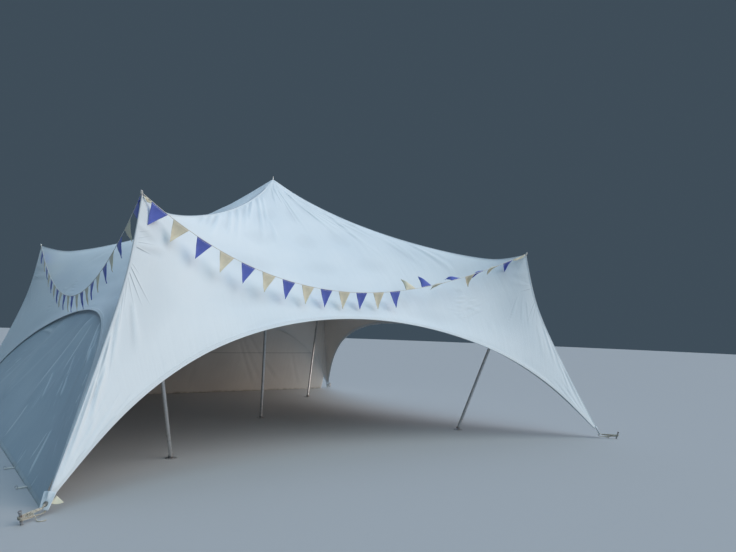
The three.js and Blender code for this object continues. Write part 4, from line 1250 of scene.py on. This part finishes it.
def patch_bmesh(corner):
    """Flat patch round its eyelet, bent over the leg's ridge towards its top."""
    bm = bmesh.new()
    steps = 48
    hole, rim = [], []
    for i in range(steps):
        angle = 2 * math.pi * i / steps
        dx, dy = math.cos(angle), math.sin(angle)
        reach = (PATCH_LONG - EYELET_IN) / dx if dx > 1e-6 else (-EYELET_IN / dx if dx < -1e-6 else 9)
        slope = (PATCH_HIGH - PATCH_LOW) / PATCH_LONG
        half = PATCH_LOW + slope * EYELET_IN
        if abs(dy) > 1e-6:
            reach = min(reach, half / (abs(dy) - slope * dx))
        hole.append(bm.verts.new((EYELET_IN + EYELET_R * dx, EYELET_R * dy, 0)))
        rim.append(bm.verts.new((EYELET_IN + reach * dx, reach * dy, 0)))
    for ring in (hole, rim):
        for i in range(steps):
            bm.edges.new((ring[i], ring[(i + 1) % steps]))
    bmesh.ops.bridge_loops(bm, edges=bm.edges[:])
    spokes = [e for e in bm.edges if (e.verts[0] in hole) != (e.verts[1] in hole)]
    bmesh.ops.subdivide_edges(bm, edges=spokes, cuts=5)
    cloth_map = bm.loops.layers.uv.new("cloth")
    for face in bm.faces:
        face.smooth = True
        for loop in face.loops:
            loop[cloth_map].uv = (abs(loop.vert.co.y), loop.vert.co.x)
    for vert in bm.verts:
        back, aside = vert.co.x, vert.co.y
        bent = 0.5 * ease(0.05, PATCH_LONG, back) * max(0.0, 0.04 - abs(aside))
        vert.co = leg_place(corner, back, aside, bent - 0.004)
    bm.normal_update()
    if sum(face.normal.z for face in bm.faces) < 0:
        bmesh.ops.reverse_faces(bm, faces=bm.faces)
    return bm


def brass_material():
    """Plated brass, dull and spotted."""
    material, tree, surface = bare_material("eyelet_brass", {"Metallic": 0.9})
    spots = noise(tree, object_place(tree), 120, 5)
    colour = blend(tree, spots, (0.34, 0.33, 0.29, 1), (0.56, 0.55, 0.50, 1))
    finish_surface(tree, surface, colour, reckon(tree, "MULTIPLY_ADD", spots, 0.3, 0.28), spots, 0.0004)
    return material


brass = brass_material()
patch_cloth = cloth_material("patch_cloth", (0.78, 0.84, 0.88, 1), (0.73, 0.79, 0.84, 1), 0.08)
for corner, name in enumerate(CORNERS):
    patch = new_piece(f"leg_patch_{name}", patch_bmesh(corner), patch_cloth)
    thicken(patch, PATCH_THICK, -1)
    soft = patch.modifiers.new("edges", "BEVEL")
    soft.width = 0.0015
    soft.segments = 2
    soft.limit_method = "ANGLE"
    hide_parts(f"corner_patch_{name}")

    turn_axis = leg_place(corner, 0, 0, 1) - leg_place(corner, 0, 0, 0)
    ring = [(EYELET_R - 0.0045, -0.013), (EYELET_R + 0.008, -0.0125), (EYELET_R + 0.0085, -0.0112),
            (EYELET_R - 0.002, -0.0108), (EYELET_R - 0.002, -0.0035), (EYELET_R + 0.0085, -0.0032),
            (EYELET_R + 0.008, -0.0018), (EYELET_R - 0.001, 0.0002), (EYELET_R - 0.0045, -0.002),
            (EYELET_R - 0.0045, -0.013)]
    eyelet = turned_piece(f"leg_eyelet_{name}", ring, leg_place(corner, EYELET_IN), turn_axis, brass)

# Stakes and lashings
# Each corner is lashed to a steel stake that is driven into the ground and leans away from the
# tent. The rope runs several times from the eyelet round the stake and ends in a knot and a tail.
STAKE_OUT = 0.27  # from a leg's tip to its stake
STAKE_LEAN = math.radians(18)
STAKE_LONG = 0.135
STAKE_R = 0.013
ROPE_R = 0.0045
KNOT_FROM = 0.145  # from a leg's tip to the knot of its lashing
KNOT_R = 0.012


def rope_material():
    """Off-white laid rope: slanting strands, with grass and mud in the lay."""
    material, tree, surface = bare_material("lashing_rope")
    round_it, along, _ = parts(tree, cloth_place(tree))
    lay = reckon(tree, "MULTIPLY_ADD", along, 420.0, reckon(tree, "MULTIPLY", round_it, 660.0))
    strand = reckon(tree, "ABSOLUTE", reckon(tree, "SINE", lay))
    mud = ramp(tree, noise(tree, object_place(tree), 45, 5), 0.45, 0.68)
    colour = blend(tree, reckon(tree, "POWER", strand, 0.6), (0.22, 0.20, 0.16, 1), (0.74, 0.70, 0.60, 1))
    colour = blend(tree, reckon(tree, "MULTIPLY", mud, 0.6), colour, DIRT_COLOUR)
    finish_surface(tree, surface, colour, reckon(tree, "MULTIPLY_ADD", mud, 0.1, 0.82), strand, 0.0016)
    return material


def tube_rows(route, radius, sides=10):
    """Rows of points round a smooth route, with the lengths along and round it."""
    route = smooth_line(np.array(route), np.linspace(0, len(route) - 1, 6 * len(route)))
    forward = unit(np.gradient(route, axis=0))
    side_way = Vector(forward[0]).orthogonal().normalized()
    angles = [2 * math.pi * k / sides for k in range(sides + 1)]
    rows = []
    for point, ahead in zip(route, forward):
        ahead = Vector(ahead)
        side_way = (side_way - ahead * side_way.dot(ahead)).normalized()
        other = ahead.cross(side_way)
        rows.append([Vector(point) + (side_way * math.cos(a) + other * math.sin(a)) * radius for a in angles])
    round_it, along = np.meshgrid([radius * a for a in angles], run_along(route))
    return np.array(rows), along, round_it


def lashing_routes(corner):
    """Routes of the strands of one lashing: two loops, a knot by the stake and a loose tail."""
    out = diagonal(corner)
    aside = Vector((-out.y, out.x, 0))

    def ground(far, sideways, high):
        return out * (LEG_OUT + far) + aside * sideways + Vector((0, 0, high))

    routes = []
    for turn in range(3):
        high = 0.070 - 0.0105 * turn
        wide = STAKE_R + ROPE_R + 0.0005 * turn
        stake_far = STAKE_OUT + high * math.tan(STAKE_LEAN)
        spread = 0.004 * (turn - 1)
        loop = [leg_place(corner, EYELET_IN - 0.012, spread, -0.016),
                leg_place(corner, EYELET_IN - 0.014, spread, 0.008),
                leg_place(corner, EYELET_IN - 0.040, spread - 0.004, 0.018),
                ground(0.07, -0.010 + spread, 0.075 - 0.008 * turn)]
        for k in range(-3, 4):
            angle = k * math.pi / 5
            loop.append(ground(stake_far + wide * math.cos(angle), wide * math.sin(angle), high - 0.002 * k))
        loop += [ground(0.09, 0.014 - spread, 0.036 - 0.004 * turn),
                 leg_place(corner, -0.022, 0.006 - spread, -0.012),
                 leg_place(corner, 0.004, 0.004 - spread, -0.030),
                 leg_place(corner, EYELET_IN - 0.020, spread, -0.028)]
        routes.append([tuple(point) for point in loop])
    knot = []
    for k in range(15):
        angle = k * math.pi / 3
        knot.append(tuple(ground(KNOT_FROM + 0.0045 * k, KNOT_R * math.sin(angle),
                                 0.058 + KNOT_R * math.cos(angle))))
    routes.append(knot)
    routes.append([tuple(ground(*place)) for place in (
        (0.150, 0.012, 0.055), (0.145, 0.026, 0.040), (0.150, 0.045, 0.016), (0.165, 0.070, 0.006),
        (0.160, 0.100, 0.0055), (0.130, 0.120, 0.0055), (0.105, 0.112, 0.0058))])
    return routes


rope = rope_material()
for corner, name in enumerate(CORNERS):
    strands = bmesh.new()
    for index, route in enumerate(lashing_routes(corner)):
        strand = laid_mesh(f"strand_{corner}_{index}", *tube_rows(route, ROPE_R), joined=True)
        capped(strand, cut=False)
        pour(strands, strand)
    lashing = new_piece(f"leg_lashing_{name}", strands, rope)
    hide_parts(f"lashing_{name}")

    axis = (diagonal(corner) * math.sin(STAKE_LEAN) + Vector((0, 0, math.cos(STAKE_LEAN)))).normalized()
    profile = [(0, 0.003), (STAKE_R, 0.005), (STAKE_R, STAKE_LONG - 0.016),
               (STAKE_R + 0.004, STAKE_LONG - 0.012), (STAKE_R + 0.005, STAKE_LONG - 0.008),
               (STAKE_R + 0.005, STAKE_LONG - 0.004), (STAKE_R + 0.003, STAKE_LONG - 0.0015), (0, STAKE_LONG)]
    stake = turned_piece(f"ground_stake_{name}", profile, diagonal(corner) * (LEG_OUT + STAKE_OUT),
                         axis, steel)
    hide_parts(f"stake_{name}")

# Wall pegs
# Short cord loops on a wall's lower hem are held to the ground by small bent-wire pegs.
PEG_OUT = 0.10
PEG_R = 0.003
LOOP_R = 0.005
LOOP_ROUTE = (  # metres out of the wall, along it and up
    (0, -0.012, 0.020), (0.02, -0.014, 0.014), (PEG_OUT - 0.01, -0.010, 0.012), (PEG_OUT + 0.002, 0, 0.012),
    (PEG_OUT - 0.01, 0.010, 0.012), (0.02, 0.014, 0.014), (0, 0.012, 0.020),
)
PEG_ROUTE = ((PEG_OUT - 0.012, 0, 0.003), (PEG_OUT - 0.010, 0, 0.030), (PEG_OUT + 0.004, 0, 0.036),
             (PEG_OUT + 0.016, 0, 0.022))
for side in (2, 3):
    name = SIDES[side]
    out, along = wall_frame(side)
    loops, pegs = bmesh.new(), bmesh.new()
    for place in PEG_PLACES:
        for store, route, radius in ((loops, LOOP_ROUTE, LOOP_R), (pegs, PEG_ROUTE, PEG_R)):
            route = [out * (WALL_LINE + far) + along * (place + aside) + (0, 0, up)
                     for far, aside, up in route]
            rod = laid_mesh("rod", *tube_rows(route, radius, 8), joined=True)
            capped(rod, cut=False)
            pour(store, rod)
    for label, store, finish, slot in (("loops", loops, tape, "rope"), ("pegs", pegs, steel, "stake_steel")):
        piece = new_piece(f"wall_{label}_{name}", store, finish)

# Ground and light
# A plain pale floor under a warm, wide key from the front right and two cooler lights from above.
FLOOR_R = 90
ground = bmesh.new()
bmesh.ops.create_circle(ground, cap_ends=True, radius=FLOOR_R, segments=96)
floor_mesh = bpy.data.meshes.new("floor")
ground.to_mesh(floor_mesh)
ground.free()
floor = bpy.data.objects.new("floor", floor_mesh)
bpy.context.scene.collection.objects.link(floor)
pale = bare_material("pale_floor", {"Base Color": (0.42, 0.43, 0.44, 1), "Roughness": 0.9})[0]
floor_mesh.materials.append(pale)

for name, towards, energy, spread, colour in (
        ("key_light", Vector((0.60, -0.62, 0.50)), 1.67, 60, (1.0, 0.83, 0.71)),
        ("sky_light_front", Vector((0.10, -0.60, 1.0)), 1.49, 70, (0.54, 0.82, 1.0)),
        ("sky_light_back", Vector((0.30, 0.60, 1.0)), 0.83, 70, (0.60, 0.73, 1.0))):
    lamp = bpy.data.objects.new(name, bpy.data.lights.new(name, "SUN"))
    lamp.data.energy = energy
    lamp.data.angle = math.radians(spread)
    lamp.data.color = colour
    lamp.rotation_euler = towards.to_track_quat("Z", "Y").to_euler()
    bpy.context.scene.collection.objects.link(lamp)

world = bpy.data.worlds.new("studio")
world.use_nodes = True
background = world.node_tree.nodes["Background"]
background.inputs[0].default_value = (0.05, 0.075, 0.10, 1)
background.inputs[1].default_value = 1.0
bpy.context.scene.world = world
bpy.context.scene.view_settings.view_transform = "Standard"
